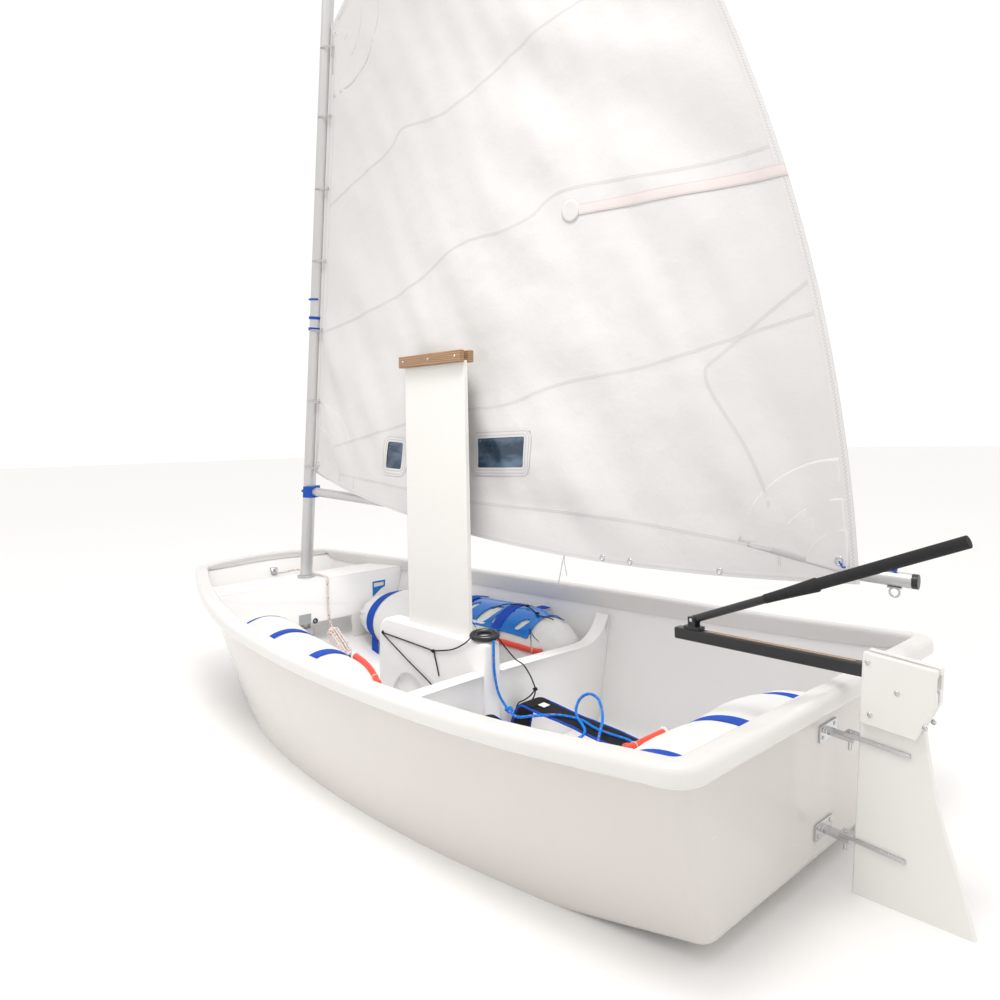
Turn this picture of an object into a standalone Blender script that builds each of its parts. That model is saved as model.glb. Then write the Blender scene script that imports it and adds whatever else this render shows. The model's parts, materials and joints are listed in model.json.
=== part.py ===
# Single-handed pram sailing dinghy with a spritsail, glass fibre hull, metric.
# +X points to the bow, +Y to port, +Z up. The origin is amidships on the waterline.
import math

import bmesh
import bpy
import numpy as np
from mathutils import Matrix, Vector

NAME = "pram_dinghy"

# Running gaps
GAP = 0.0003              # between neighbours that touch on the real boat
MAST_PLAY = 0.0012        # mast in its hole and its step
BOARD_PLAY = 0.0009       # each side of the daggerboard in its slot
CLOTH_GAP = 0.0006        # bags and straps, off what they lie on

# Hull
HULL_LENGTH = 2.30        # over the two transoms at the sheer
TRANSOM_RAKE = 0.030      # the aft transom's foot lies this far forward of its head
BOW_RAKE = 0.130          # the bow transom's foot lies this far aft of its head
SKIN = 0.006              # laminate thickness
CORNER_RADIUS = 0.030     # vertical corners between sides and transoms
CHINE_RADIUS = 0.022
SIDE_BULGE = 0.006        # how far the topsides stand proud of a straight panel
BOW_CAMBER = 0.017        # rise of the bow transom's head in the middle
SIDE_STATIONS = 17
BULGE_ROWS = (0.0, 0.33, 0.66)
# place along the hull from aft to bow (0 to 1), half breadth at the sheer, height of the
# sheer, half breadth at the chine, height of the chine
HULL_TABLE = (
    (0.000, 0.495, 0.367, 0.387, 0.035),
    (0.174, 0.535, 0.343, 0.432, -0.018),
    (0.348, 0.550, 0.336, 0.459, -0.052),
    (0.522, 0.534, 0.335, 0.454, -0.054),
    (0.696, 0.483, 0.341, 0.410, -0.012),
    (0.870, 0.378, 0.358, 0.322, 0.084),
    (1.000, 0.270, 0.376, 0.251, 0.166),
)

# Gunwale, a moulded rim over the hull's edge
RIM_OUT = 0.028
RIM_IN = 0.018
RIM_RISE = 0.010
RIM_DROP = 0.027
RIM_ROUND = 0.008
RIM_SEAT = 0.0013         # the rim stands this far off the laminate it is bonded to
RIM_SKIRT = 0.045         # how far the rim's inner face hangs below the sheer
RIM_REACH = 0.0205        # furthest inboard that the skirt comes
RIM_WALL = 0.003          # least thickness of the skirt
CORNER_PLACES = range(3, 8)     # places of a half outline that turn the corner, where the skirt is shallower

STERN_X = -HULL_LENGTH / 2
BOW_X = HULL_LENGTH / 2

# Mast thwart and its bulkhead
THWART_AFT_X = BOW_X - 0.375
THWART_DEPTH = 0.155
THWART_TOP = 0.341
PANEL = 0.010
BULKHEAD_ARCH_TOP = 0.150     # half width of the opening in the bulkhead, at its head
BULKHEAD_ARCH_FOOT = 0.190
BULKHEAD_ARCH_HEIGHT = 0.186

# Midship frame and daggerboard case
FRAME_X = -0.160
FRAME_THICK = 0.030
FRAME_TOP = 0.197
CASE_WIDTH = 0.062
CASE_TOP = 0.283
CASE_FORWARD_X = 0.330
CASE_AFT_X = -0.185
CASE_NOSE = 0.045             # radius of the case's corner at its forward head
ARCH_X = 0.168                # blind arch at the foot of each side of the case
ARCH_HALF = 0.092
ARCH_TOP = 0.133
ARCH_DEPTH = 0.012

# Daggerboard
BOARD_LENGTH = 1.067
BOARD_WIDTH = 0.290
BOARD_THICK = 0.015
BOARD_X = 0.052
BOARD_TOP = 1.087
BOARD_TRAVEL = 0.760
HEAD_BATTEN_HEIGHT = 0.036
HEAD_BATTEN_THICK = 0.020
HEAD_BATTEN_RISE = 0.030

# Mast
MAST_LENGTH = 2.35
MAST_RADIUS = 0.0225
MAST_RAKE = math.radians(5.5)
MAST_X = THWART_AFT_X + 0.075     # where the mast's axis crosses the thwart's top
STEP_HEIGHT = 0.030
COLLAR_HEIGHT = 0.008
STEP_FLOOR = 0.006

# Sail, boom and sprit, in the plane of the mast: u aft along the sail, v up the mast
RIG_SWING = math.radians(8.0)
BOOM_LENGTH = 2.05
BOOM_RADIUS = 0.016
BOOM_LOW = 0.325
BOOM_HIGH = 0.395
SPRIT_LENGTH = 2.286
SPRIT_RADIUS = 0.0138
TACK_V = 0.400
LUFF = 1.640
HEAD = 1.240
LEECH = 2.800
CLEW_U = 1.950
CLEW_V = 0.372
ROACH = 0.170
FOOT_DROP = 0.085
SAIL_THICK = 0.003
SAIL_COLUMNS = 14
SAIL_ROWS = 16

# Rudder, tiller and extension
RUDDER_AXIS_OUT = 0.046       # axis of the pintles aft of the transom
GUDGEON_LOW = 0.095
GUDGEON_HIGH = 0.285
PINTLE_RADIUS = 0.004
PINTLE_PLAY = 0.0006
GUDGEON_EYE = 0.011           # half width of the fittings round the pintle
BLADE_FRONT = -0.018          # the blade's front edge, aft of the pintles' axis
CHEEK_THICK = 0.014
HEAD_TOP = 0.462              # top of the rudder head, up the pintles' axis
BLADE_THICK = 0.012
TILLER_SIDE = 0.025
TILLER_FORWARD_X = STERN_X + 0.345
TILLER_Z = 0.420
EXTENSION_LENGTH = 0.600
EXTENSION_RADIUS = 0.0085
EXTENSION_RISE = math.radians(21.5)
EXTENSION_X = TILLER_FORWARD_X - 0.045
PIVOT_RISE = 0.0215           # pivot of the extension above the tiller's top
EAR_THICK = 0.0035
EAR_PIN = 0.003

# Buoyancy bags: two along the sides, one across the stern
BAG_SIDES = 20                # facets round a bag
BAG_HALF_WIDTH = 0.140
BAG_INSET = 0.105             # a bag's middle off the topside or transom that it leans on
BAG_TOP = 0.284
BAG_AFT_X = FRAME_X + 0.028
BAG_FORWARD_X = THWART_AFT_X - 0.018
BAG_SEAM = 0.16               # share of the full section left at a bag's ends
AFT_BAG_TOP = 0.256
AFT_BAG_HALF_WIDTH = 0.170
AFT_BAG_INSET = 0.180
AFT_BAG_HALF_LENGTH = 0.380
STRAP_WIDTH = 0.038
STRAP_THICK = 0.0018
STRAP_PLACES = (0.09, 0.37, 0.65)         # along the side bags
AFT_STRAP_PLACES = (-0.24, 0.0, 0.24)     # across the aft bag
TUBE_RADIUS = 0.009

# Bailer on the starboard bag
BAILER_AFT_X = -0.040
BAILER_FORWARD_X = 0.340
BAILER_THICK = 0.003
BAILER_SLOTS = (0.040, 0.135, 0.185, 0.235)
SLOT_WIDTH = 0.013
SLOT_LENGTH = 0.065

# Hiking straps: foot, lift behind the frame, aft end
TOE_Y = 0.095
TOE_WIDTH = 0.076
TOE_THICK = 0.005
TOE_FORWARD_X = FRAME_X - 0.070
TOE_FORWARD_Z = 0.110
TOE_AFT_X = TOE_FORWARD_X - 0.460
TOE_AFT_Z = 0.076

# Ropes
SHEET_RADIUS = 0.0038
PAINTER_RADIUS = 0.004
HANK_HALF = 0.020             # half width of the painter's hank
HANK_WIDE = HANK_HALF * 0.88 + PAINTER_RADIUS + CLOTH_GAP    # from the hank's middle to the rope beside it
RING_LONG = 0.036
RING_SHORT = 0.024
RING_RADIUS = 0.009
RING_TILT = math.radians(14)
COIL_X = -0.520
COIL_Y = 0.018
COIL_LONG = 0.060
COIL_SHORT = 0.036
COIL_THICK = 0.024
END_LIFT = 0.0006             # a cord's tilted end face above the coil it comes from
STROP_V = 1.040
STROP_RADIUS = 0.0035
EYE_WIRE = 0.0025
EYE_RADIUS = 0.010
PLUG_LENGTH = 0.012


# Scene and small helpers

def clear_scene():
    for old in list(bpy.data.objects):
        bpy.data.objects.remove(old, do_unlink=True)


def make_collection(name):
    found = bpy.data.collections.new(name)
    bpy.context.scene.collection.children.link(found)
    return found


def make_material(name, colour, roughness=0.4, metallic=0.0):
    made = bpy.data.materials.new(name)
    made.use_nodes = True
    shader = made.node_tree.nodes["Principled BSDF"]
    shader.inputs["Base Color"].default_value = (*colour, 1.0)
    shader.inputs["Roughness"].default_value = roughness
    shader.inputs["Metallic"].default_value = metallic
    made.diffuse_color = (*colour, 1.0)
    return made


def add_object(name, mesh, finish=None, cutter=False):
    made = bpy.data.objects.new(name, mesh)
    (CUTTERS if cutter else PARTS).objects.link(made)
    if cutter:
        made.hide_render = True
        made.display_type = "WIRE"
    if finish is not None:
        mesh.materials.clear()
        mesh.materials.append(finish)
    return made


def mesh_from_bmesh(name, bm):
    bmesh.ops.recalc_face_normals(bm, faces=bm.faces)
    mesh = bpy.data.meshes.new(name)
    bm.to_mesh(mesh)
    bm.free()
    return mesh


def evaluated_mesh(obj):
    bpy.context.view_layer.update()
    graph = bpy.context.evaluated_depsgraph_get()
    return bpy.data.meshes.new_from_object(obj.evaluated_get(graph))


def settle(obj):
    """Apply the object's modifiers and its place to its mesh."""
    mesh = evaluated_mesh(obj)
    mesh.transform(obj.matrix_world)
    obj.modifiers.clear()
    obj.matrix_world = Matrix()
    obj.data = mesh
    return obj


def curve_to_mesh(obj):
    """Replace a curve object by its closed mesh, caps welded."""
    mesh = evaluated_mesh(obj)
    bm = bmesh.new()
    bm.from_mesh(mesh)
    bmesh.ops.remove_doubles(bm, verts=bm.verts, dist=0.00001)
    bmesh.ops.recalc_face_normals(bm, faces=bm.faces)
    bm.to_mesh(mesh)
    bm.free()
    mesh.transform(obj.matrix_world)
    name = obj.name
    home = obj.users_collection[0]
    bpy.data.objects.remove(obj, do_unlink=True)
    made = bpy.data.objects.new(name, mesh)
    home.objects.link(made)
    return made


def boolean(obj, cutter, operation="DIFFERENCE"):
    step = obj.modifiers.new("boolean", "BOOLEAN")
    step.object = cutter
    step.operation = operation
    step.solver = "EXACT"
    return settle(obj)


def bevel(obj, width, segments=2, angle=35):
    step = obj.modifiers.new("bevel", "BEVEL")
    step.width = width
    step.segments = segments
    step.limit_method = "ANGLE"
    step.angle_limit = math.radians(angle)
    return settle(obj)


def smooth_shade(obj, angle=35):
    obj.data.shade_smooth()
    obj.data.set_sharp_from_angle(angle=math.radians(angle))
    return obj


def box(name, low, high, finish=None, cutter=False, frame=None):
    low, high = Vector(low), Vector(high)
    bm = bmesh.new()
    place = Matrix.Translation((low + high) / 2) @ Matrix.Diagonal((*(high - low), 1.0))
    if frame is not None:
        place = frame @ place
    bmesh.ops.create_cube(bm, size=1.0, matrix=place)
    return add_object(name, mesh_from_bmesh(name, bm), finish, cutter)


def along(start, end):
    """Matrix that carries +Z at the origin onto the line from start to end."""
    start, end = Vector(start), Vector(end)
    turn = (end - start).to_track_quat("Z", "Y").to_matrix().to_4x4()
    return Matrix.Translation((start + end) / 2) @ turn


def rod(name, start, end, radius, finish=None, sides=24, cutter=False, radius_end=None):
    bm = bmesh.new()
    bmesh.ops.create_cone(bm, cap_ends=True, segments=sides, radius1=radius,
                          radius2=radius if radius_end is None else radius_end,
                          depth=(Vector(end) - Vector(start)).length, matrix=along(start, end))
    made = add_object(name, mesh_from_bmesh(name, bm), finish, cutter)
    return smooth_shade(made)


def plate(name, outline, thick, finish=None, cutter=False, frame=None):
    """A flat plate from a closed outline of (a, b) points, in the XY plane of the frame."""
    data = bpy.data.curves.new(name, "CURVE")
    data.dimensions = "2D"
    data.fill_mode = "BOTH"
    data.extrude = thick / 2
    line = data.splines.new("POLY")
    line.points.add(len(outline) - 1)
    for point, (a, b) in zip(line.points, outline):
        point.co = (a, b, 0.0, 1.0)
    line.use_cyclic_u = True
    made = bpy.data.objects.new(name, data)
    (CUTTERS if cutter else PARTS).objects.link(made)
    made.matrix_world = frame or Matrix()
    made = curve_to_mesh(made)
    if cutter:
        made.hide_render = True
        made.display_type = "WIRE"
    if finish is not None:
        made.data.materials.append(finish)
    return made


def tube(name, points, radius, finish, resolution=2, cyclic=False):
    data = bpy.data.curves.new(name, "CURVE")
    data.dimensions = "3D"
    data.bevel_depth = radius
    data.bevel_resolution = resolution
    data.use_fill_caps = True
    line = data.splines.new("POLY")
    line.points.add(len(points) - 1)
    for point, place in zip(line.points, points):
        point.co = (*place, 1.0)
    line.use_cyclic_u = cyclic
    made = bpy.data.objects.new(name, data)
    PARTS.objects.link(made)
    made = curve_to_mesh(made)
    made.data.materials.append(finish)
    return smooth_shade(made, 60)


def loft(name, loops, finish, angle=60):
    """Closed solid through loops of equal count, with flat ends."""
    bm = bmesh.new()
    rings = [[bm.verts.new(p) for p in loop] for loop in loops]
    count = len(rings[0])
    for a, b in zip(rings, rings[1:]):
        for k in range(count):
            j = (k + 1) % count
            bm.faces.new((a[k], a[j], b[j], b[k]))
    bm.faces.new(rings[0])
    bm.faces.new(rings[-1])
    return smooth_shade(add_object(name, mesh_from_bmesh(name, bm), finish), angle)


def unite(name, pieces, finish):
    """Boolean union of overlapping pieces of one moulding."""
    whole = pieces[0]
    for other in pieces[1:]:
        boolean(whole, other, "UNION")
        bpy.data.objects.remove(other, do_unlink=True)
    whole.name = name
    whole.data.materials.clear()
    whole.data.materials.append(finish)
    return whole


def smooth_curve(points, steps):
    """Catmull-Rom curve through the points, steps samples for each span."""
    points = [np.array(p, float) for p in points]
    ends = [2 * points[0] - points[1]] + points + [2 * points[-1] - points[-2]]
    made = []
    for i in range(1, len(ends) - 2):
        a, b, c, d = ends[i - 1:i + 3]
        for k in range(steps):
            t = k / steps
            made.append(0.5 * (2 * b + (c - a) * t + (2 * a - 5 * b + 4 * c - d) * t * t
                               + (3 * b - a - 3 * c + d) * t ** 3))
    made.append(points[-1])
    return made


# Hull form

def hull_value(column, place):
    """A column of the hull table at a place from 0 to 1, on a smooth curve."""
    places = [row[0] for row in HULL_TABLE]
    values = [row[column] for row in HULL_TABLE]
    slopes = np.gradient(values, places)
    i = int(np.clip(np.searchsorted(places, place) - 1, 0, len(places) - 2))
    span = places[i + 1] - places[i]
    t = (place - places[i]) / span
    return ((2 * t ** 3 - 3 * t ** 2 + 1) * values[i] + (t ** 3 - 2 * t ** 2 + t) * span * slopes[i]
            + (3 * t ** 2 - 2 * t ** 3) * values[i + 1] + (t ** 3 - t ** 2) * span * slopes[i + 1])


def sheer_x(place):
    return STERN_X + HULL_LENGTH * place


def chine_x(place):
    return STERN_X + TRANSOM_RAKE + (HULL_LENGTH - TRANSOM_RAKE - BOW_RAKE) * place


def sheer_point(place):
    return Vector((sheer_x(place), hull_value(1, place), hull_value(2, place)))


def chine_point(place):
    return Vector((chine_x(place), hull_value(3, place), hull_value(4, place)))


def sheer_height(x):
    return hull_value(2, (x - STERN_X) / HULL_LENGTH)


def bottom_height(x):
    place = (x - STERN_X - TRANSOM_RAKE) / (HULL_LENGTH - TRANSOM_RAKE - BOW_RAKE)
    return hull_value(4, place)


def half_outline(point_at, camber):
    """Port half of a ring round the hull: bow middle, bow corner, side, stern corner, middle."""
    inset = CORNER_RADIUS / HULL_LENGTH
    sides = [inset + (1 - 2 * inset) * i / (SIDE_STATIONS - 1) for i in range(SIDE_STATIONS)]
    ring = []
    for end, first in ((0.0, sides[0]), (1.0, sides[-1])):
        corner = point_at(end)
        middle = Vector((corner.x, 0.0, corner.z))
        start = corner + (middle - corner).normalized() * CORNER_RADIUS
        side = point_at(first)
        run = [middle.lerp(start, f) for f in (0.0, 0.4, 0.75, 1.0)]
        for f in (0.25, 0.5, 0.75):
            run.append(start * (1 - f) ** 2 + corner * 2 * f * (1 - f) + side * f ** 2)
        if end == 1.0:
            for p in run:
                p.z += camber * (1 - (p.y / corner.y) ** 2)
        ring.append(run)
    return ring[0] + [point_at(s) for s in sides] + ring[1][::-1]


def inward(ring):
    """Unit vectors in plan that point into the ring of a half outline."""
    out = []
    last = len(ring) - 1
    for i, p in enumerate(ring):
        before = ring[max(i - 1, 0)]
        after = ring[min(i + 1, last)]
        if i == 0:
            out.append(Vector((1, 0, 0)))
        elif i == last:
            out.append(Vector((-1, 0, 0)))
        else:
            run = (after - before).normalized()
            out.append(Vector((run.y, -run.x, 0)).normalized())
    return out


def side_bulge(t):
    """How far a topside stands proud at t, from the sheer (0) to the chine (1)."""
    return SIDE_BULGE * 4 * t * (1 - t)


def hull_surface():
    """Open outer surface of the hull: topsides, transoms and bottom."""
    sheer = half_outline(sheer_point, BOW_CAMBER)
    chine = half_outline(chine_point, 0.0)
    into = inward(chine)
    outward = inward(sheer)
    rows = []
    for t in BULGE_ROWS:
        rows.append([s.lerp(c, t) - n * side_bulge(t) * n.y ** 2
                     for s, c, n in zip(sheer, chine, outward)])
    upper, middle, lower = [], [], []
    for s, c, n in zip(sheer, chine, into):
        top = c + (s - c).normalized() * CHINE_RADIUS
        low = c + n * CHINE_RADIUS
        upper.append(top)
        middle.append(top * 0.25 + c * 0.5 + low * 0.25)
        lower.append(low)
    rows += [upper, middle, lower]
    bm = bmesh.new()
    grid = [[bm.verts.new((p.x, max(p.y, 0.0), p.z)) for p in row] for row in rows]
    for a, b in zip(grid, grid[1:]):
        for i in range(len(a) - 1):
            bm.faces.new((a[i], b[i], b[i + 1], a[i + 1]))
    corner = len(sheer) - SIDE_STATIONS
    first = corner // 2
    last = first + SIDE_STATIONS - 1
    foot = grid[-1]
    keel = [bm.verts.new((foot[i].co.x, 0.0, foot[i].co.z)) for i in range(first, last + 1)]
    for i in range(first, last):
        bm.faces.new((foot[i], keel[i - first], keel[i - first + 1], foot[i + 1]))
    bm.faces.new(foot[:first + 1][::-1] + [keel[0]][::-1])
    bm.faces.new([keel[-1]] + foot[last:][::-1])
    mirrored = bmesh.ops.mirror(bm, geom=bm.verts[:] + bm.edges[:] + bm.faces[:],
                                axis="Y", merge_dist=0.00001)
    bmesh.ops.remove_doubles(bm, verts=bm.verts, dist=0.00002)
    bmesh.ops.recalc_face_normals(bm, faces=bm.faces)
    low_face = min(bm.faces, key=lambda f: f.calc_center_median().z)
    low_face.normal_update()
    if low_face.normal.z > 0:
        bmesh.ops.reverse_faces(bm, faces=bm.faces)
    bmesh.ops.triangulate(bm, faces=bm.faces)
    return bm


def hull_inside(name, clear):
    """Closed solid of the space inside the hull, clear of the laminate."""
    bm = hull_surface()
    bm.normal_update()
    places = {v: v.co - v.normal * v.calc_shell_factor() * (SKIN + clear) for v in bm.verts}
    for v, place in places.items():
        v.co = place
    rim = [e for e in bm.edges if e.is_boundary]
    raised = bmesh.ops.extrude_edge_only(bm, edges=rim)["geom"]
    top = max(v.co.z for v in bm.verts)
    for v in raised:
        if isinstance(v, bmesh.types.BMVert):
            v.co.z = top + 0.3
    lid = [e for e in bm.edges if e.is_boundary]
    bmesh.ops.contextual_create(bm, geom=lid)
    return add_object(name, mesh_from_bmesh(name, bm), cutter=True)


def slot_box(name, extra, low, high):
    """Cutter for the daggerboard's slot, wider than the slot by extra."""
    half = BOARD_WIDTH / 2 + BOARD_PLAY + extra
    side = BOARD_THICK / 2 + BOARD_PLAY + extra
    return box(name, (BOARD_X - half, -side, low), (BOARD_X + half, side, high), cutter=True)


def make_hull():
    bm = hull_surface()
    mesh = bpy.data.meshes.new("hull_shell")
    bm.to_mesh(mesh)
    bm.free()
    shell = add_object("hull_shell", mesh, GELCOAT)
    wall = shell.modifiers.new("skin", "SOLIDIFY")
    wall.thickness = SKIN
    wall.offset = -1.0
    wall.use_even_offset = True
    settle(shell)
    boolean(shell, slot_box("slot_in_hull", 0.0, -0.2, 0.1))
    shell.data.materials.clear()
    shell.data.materials.append(GELCOAT)
    smooth_shade(shell, 40)


def rim_ring():
    """Round the sheer: place, inward direction, slope of the wall, bulge of the wall, skirt's depth
    and the wall's place at the skirt's foot."""
    half = half_outline(sheer_point, BOW_CAMBER)
    low = half_outline(chine_point, 0.0)
    port = []
    last = len(half) - 1
    for i, (p, n, c) in enumerate(zip(half, inward(half), low)):
        tall = p.z - c.z
        slope = (c - p).dot(n) / tall
        bulge = side_bulge(BULGE_ROWS[1]) * n.y ** 2 / BULGE_ROWS[1] / tall
        turn = 1 if min(i, last - i) in CORNER_PLACES else 0
        back = SKIN * math.hypot(1, slope) + RIM_SEAT * (1 + turn)
        deep = min(RIM_SKIRT, (RIM_REACH - RIM_WALL - back) / slope) * (1 - 0.55 * turn)
        port.append((p, n, slope, bulge, deep, (bulge - slope) * deep - back))
    starboard = [(Vector((p.x, -p.y, p.z)), Vector((n.x, -n.y, 0)), *rest) for p, n, *rest in port[1:-1]]
    return port + starboard[::-1]


def sweep_ring(name, ring, profile_at, finish=None, cutter=False):
    """Closed solid swept round the boat, its section given at each place of the ring."""
    bm = bmesh.new()
    loops = []
    for p, n, *rest in ring:
        loops.append([bm.verts.new(p - n * o + Vector((0, 0, z))) for o, z in profile_at(*rest)])
    count = len(loops[0])
    for a, b in zip(loops, loops[1:] + loops[:1]):
        for i in range(count):
            j = (i + 1) % count
            bm.faces.new((a[i], a[j], b[j], b[i]))
    return add_object(name, mesh_from_bmesh(name, bm), finish, cutter)


def rim_profile(slope, bulge, deep, foot):
    under = RIM_SEAT + SKIN * slope * 1.3
    return (
        (foot - RIM_WALL, -deep), (-RIM_IN, -deep * 0.35), (-RIM_IN, under + RIM_RISE * 0.3),
        (-RIM_IN * 0.7, RIM_RISE),
        (RIM_OUT - RIM_ROUND * 1.2, RIM_RISE), (RIM_OUT - RIM_ROUND * 0.3, RIM_RISE * 0.5),
        (RIM_OUT, RIM_RISE * 0.5 - RIM_ROUND), (RIM_OUT, RIM_ROUND - RIM_DROP),
        (RIM_OUT - RIM_ROUND * 0.3, RIM_ROUND * 0.3 - RIM_DROP), (RIM_OUT - RIM_ROUND, -RIM_DROP),
        (RIM_SEAT + (bulge - slope) * RIM_DROP, -RIM_DROP), (RIM_SEAT, RIM_SEAT),
        (-SKIN * math.hypot(1, slope) - RIM_SEAT, under), (foot, -deep),
    )


def rim_room(slope, bulge, deep, foot):
    """Section of the space that the rim takes, a gap wider than it on its inner side."""
    above = 0.1
    return ((foot - RIM_WALL - GAP, -deep - GAP), (-RIM_IN - GAP, -deep * 0.35),
            (-RIM_IN - GAP, above), (RIM_OUT, above), (RIM_OUT, -deep - GAP))


def make_gunwale():
    """Moulded rim swept round the sheer, over the hull's edge."""
    smooth_shade(sweep_ring("gunwale", rim_ring(), rim_profile, GELCOAT), 50)


def clear_rim(obj):
    """Cut a piece back from the gunwale."""
    boolean(obj, sweep_ring("rim_room", rim_ring(), rim_room, cutter=True))


# Fixed pieces inside the hull

def across(x):
    """Frame whose XY plane is the boat's YZ plane at x."""
    return Matrix(((0, 0, 1, x), (1, 0, 0, 0), (0, 1, 0, 0), (0, 0, 0, 1)))


def lengthwise(y=0.0):
    """Frame whose XY plane is the boat's XZ plane at y."""
    return Matrix(((1, 0, 0, 0), (0, 0, -1, y), (0, 1, 0, 0), (0, 0, 0, 1)))


def mast_point(v, u=0.0, w=0.0):
    """A point of the rig: v up the mast from the thwart, u aft in the sail's plane, w to port."""
    up = Vector((-math.sin(MAST_RAKE), 0, math.cos(MAST_RAKE)))
    flat = Vector((-math.cos(RIG_SWING), -math.sin(RIG_SWING), 0))
    aft = (flat - up * flat.dot(up)).normalized()
    port = aft.cross(up).normalized()
    if port.y < 0:
        port = -port
    return Vector((MAST_X, 0, THWART_TOP)) + up * v + aft * u + port * w


def make_thwart(inside):
    top = box("mast_thwart", (THWART_AFT_X, -1, THWART_TOP - PANEL),
              (THWART_AFT_X + THWART_DEPTH, 1, THWART_TOP))
    wide, foot, head = BULKHEAD_ARCH_TOP, BULKHEAD_ARCH_FOOT, BULKHEAD_ARCH_HEIGHT
    wall = plate("bulkhead", [(-1, -0.2), (-foot, -0.2), (-wide, head), (wide, head),
                              (foot, -0.2), (1, -0.2), (1, THWART_TOP - PANEL / 2),
                              (-1, THWART_TOP - PANEL / 2)],
                 PANEL, frame=across(THWART_AFT_X + PANEL / 2))
    lip = box("lip", (THWART_AFT_X + THWART_DEPTH - PANEL, -1, THWART_TOP - 0.045),
              (THWART_AFT_X + THWART_DEPTH, 1, THWART_TOP - PANEL / 2))
    whole = unite("mast_thwart", [top, wall, lip], GELCOAT)
    clear_rim(whole)
    boolean(whole, inside, "INTERSECT")
    hole = rod("mast_hole", mast_point(-0.2), mast_point(0.2), MAST_RADIUS + MAST_PLAY,
               sides=32, cutter=True)
    boolean(whole, hole)
    smooth_shade(whole)


def make_step(inside):
    floor = bottom_height(MAST_X) + SKIN
    middle = mast_point(-(THWART_TOP - floor) / math.cos(MAST_RAKE))
    step = rod("mast_step", (middle.x, 0, floor - 0.03), (middle.x, 0, floor + STEP_HEIGHT),
               MAST_RADIUS + 0.016, GELCOAT, sides=32)
    boolean(step, inside, "INTERSECT")
    socket = rod("step_socket", mast_foot(), mast_point(0.1), MAST_RADIUS + MAST_PLAY,
                 sides=32, cutter=True)
    boolean(step, socket)
    smooth_shade(step)


def mast_foot():
    """Lower end of the mast, a gap above the floor of its step."""
    floor = bottom_height(MAST_X) + SKIN + 0.012
    return mast_point(-(THWART_TOP - floor - STEP_FLOOR) / math.cos(MAST_RAKE))


def make_frame(inside):
    """Midship frame: low in the middle, sweeping up to the gunwale at each side."""
    place = (FRAME_X - STERN_X) / HULL_LENGTH
    beam = hull_value(1, place)
    top = sheer_height(FRAME_X) - 0.012
    curve = smooth_curve([(0.0, FRAME_TOP), (0.27, FRAME_TOP - 0.004), (0.37, FRAME_TOP - 0.030),
                          (beam - 0.075, FRAME_TOP - 0.016), (beam - 0.020, 0.255),
                          (beam - 0.004, top)], 5)
    half = [(float(a), float(b)) for a, b in curve]
    outline = half + [(1.0, top), (1.0, -0.3), (-1.0, -0.3), (-1.0, top)]
    outline += [(-a, b) for a, b in half[:0:-1]]
    half_case = CASE_WIDTH / 2 + GAP
    for name, near, far in (("frame_port", half_case, 1.0), ("frame_starboard", -1.0, -half_case)):
        made = plate(name, outline, FRAME_THICK, GELCOAT, frame=across(FRAME_X))
        clear_rim(made)
        boolean(made, inside, "INTERSECT")
        side = box(name + "_side", (FRAME_X - 0.1, near, -0.3), (FRAME_X + 0.1, far, 0.5), cutter=True)
        boolean(made, side, "INTERSECT")
        smooth_shade(made)


def make_case(inside):
    low = -0.15
    nose = [(CASE_FORWARD_X - CASE_NOSE * (1 - math.cos(a)), CASE_TOP - CASE_NOSE * (1 - math.sin(a)))
            for a in [math.radians(15 * k) for k in range(7)]]
    outline = [(CASE_AFT_X, low), (CASE_FORWARD_X + 0.012, low)] + nose + [(CASE_AFT_X, CASE_TOP)]
    made = plate("daggerboard_case", outline, CASE_WIDTH, GELCOAT, frame=lengthwise())
    bevel(made, 0.010, 3, 50)
    arch = [(ARCH_X + ARCH_HALF, low)]
    for k in range(13):
        a = math.radians(15 * k)
        arch.append((ARCH_X + ARCH_HALF * math.cos(a), ARCH_TOP - ARCH_HALF * (1 - math.sin(a))))
    arch.append((ARCH_X - ARCH_HALF, low))
    for side in (1, -1):
        boolean(made, plate("arch", arch, 2 * ARCH_DEPTH, cutter=True,
                            frame=lengthwise(side * CASE_WIDTH / 2)))
    boolean(made, inside, "INTERSECT")
    boolean(made, slot_box("slot_in_case", 0.0, -0.2, 0.5))
    smooth_shade(made)


# Rig

def rig_frame():
    """Frame whose X is the sail's u, Y is v up the mast and Z is w."""
    origin = mast_point(0)
    u = mast_point(0, 1) - origin
    v = mast_point(1) - origin
    w = u.cross(v)
    m = Matrix.Identity(4)
    for col, axis in enumerate((u, v, w)):
        for row in range(3):
            m[row][col] = axis[row]
    return Matrix.Translation(origin) @ m


def throat():
    return (MAST_RADIUS + 0.001, TACK_V + LUFF)


def peak():
    """Corner of the sail that lies at the leech's length from the clew and the head's from the throat."""
    (x0, y0), (x1, y1) = throat(), (CLEW_U, CLEW_V)
    span = math.hypot(x1 - x0, y1 - y0)
    a = (HEAD ** 2 - LEECH ** 2 + span ** 2) / (2 * span)
    h = math.sqrt(HEAD ** 2 - a ** 2)
    dx, dy = (x1 - x0) / span, (y1 - y0) / span
    return (x0 + a * dx - h * dy, y0 + a * dy + h * dx)


def boom_v(u):
    return BOOM_LOW + (BOOM_HIGH - BOOM_LOW) * u / BOOM_LENGTH


def boom_axis(u):
    return mast_point(boom_v(u), u)


def sprit_ends():
    """Heel of the sprit at the mast and its tip at the sail's peak, as (u, v)."""
    u1, v1 = peak()
    heel_v = v1 - math.sqrt(SPRIT_LENGTH ** 2 - u1 ** 2)
    return (0.0, heel_v), (u1, v1)


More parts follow.
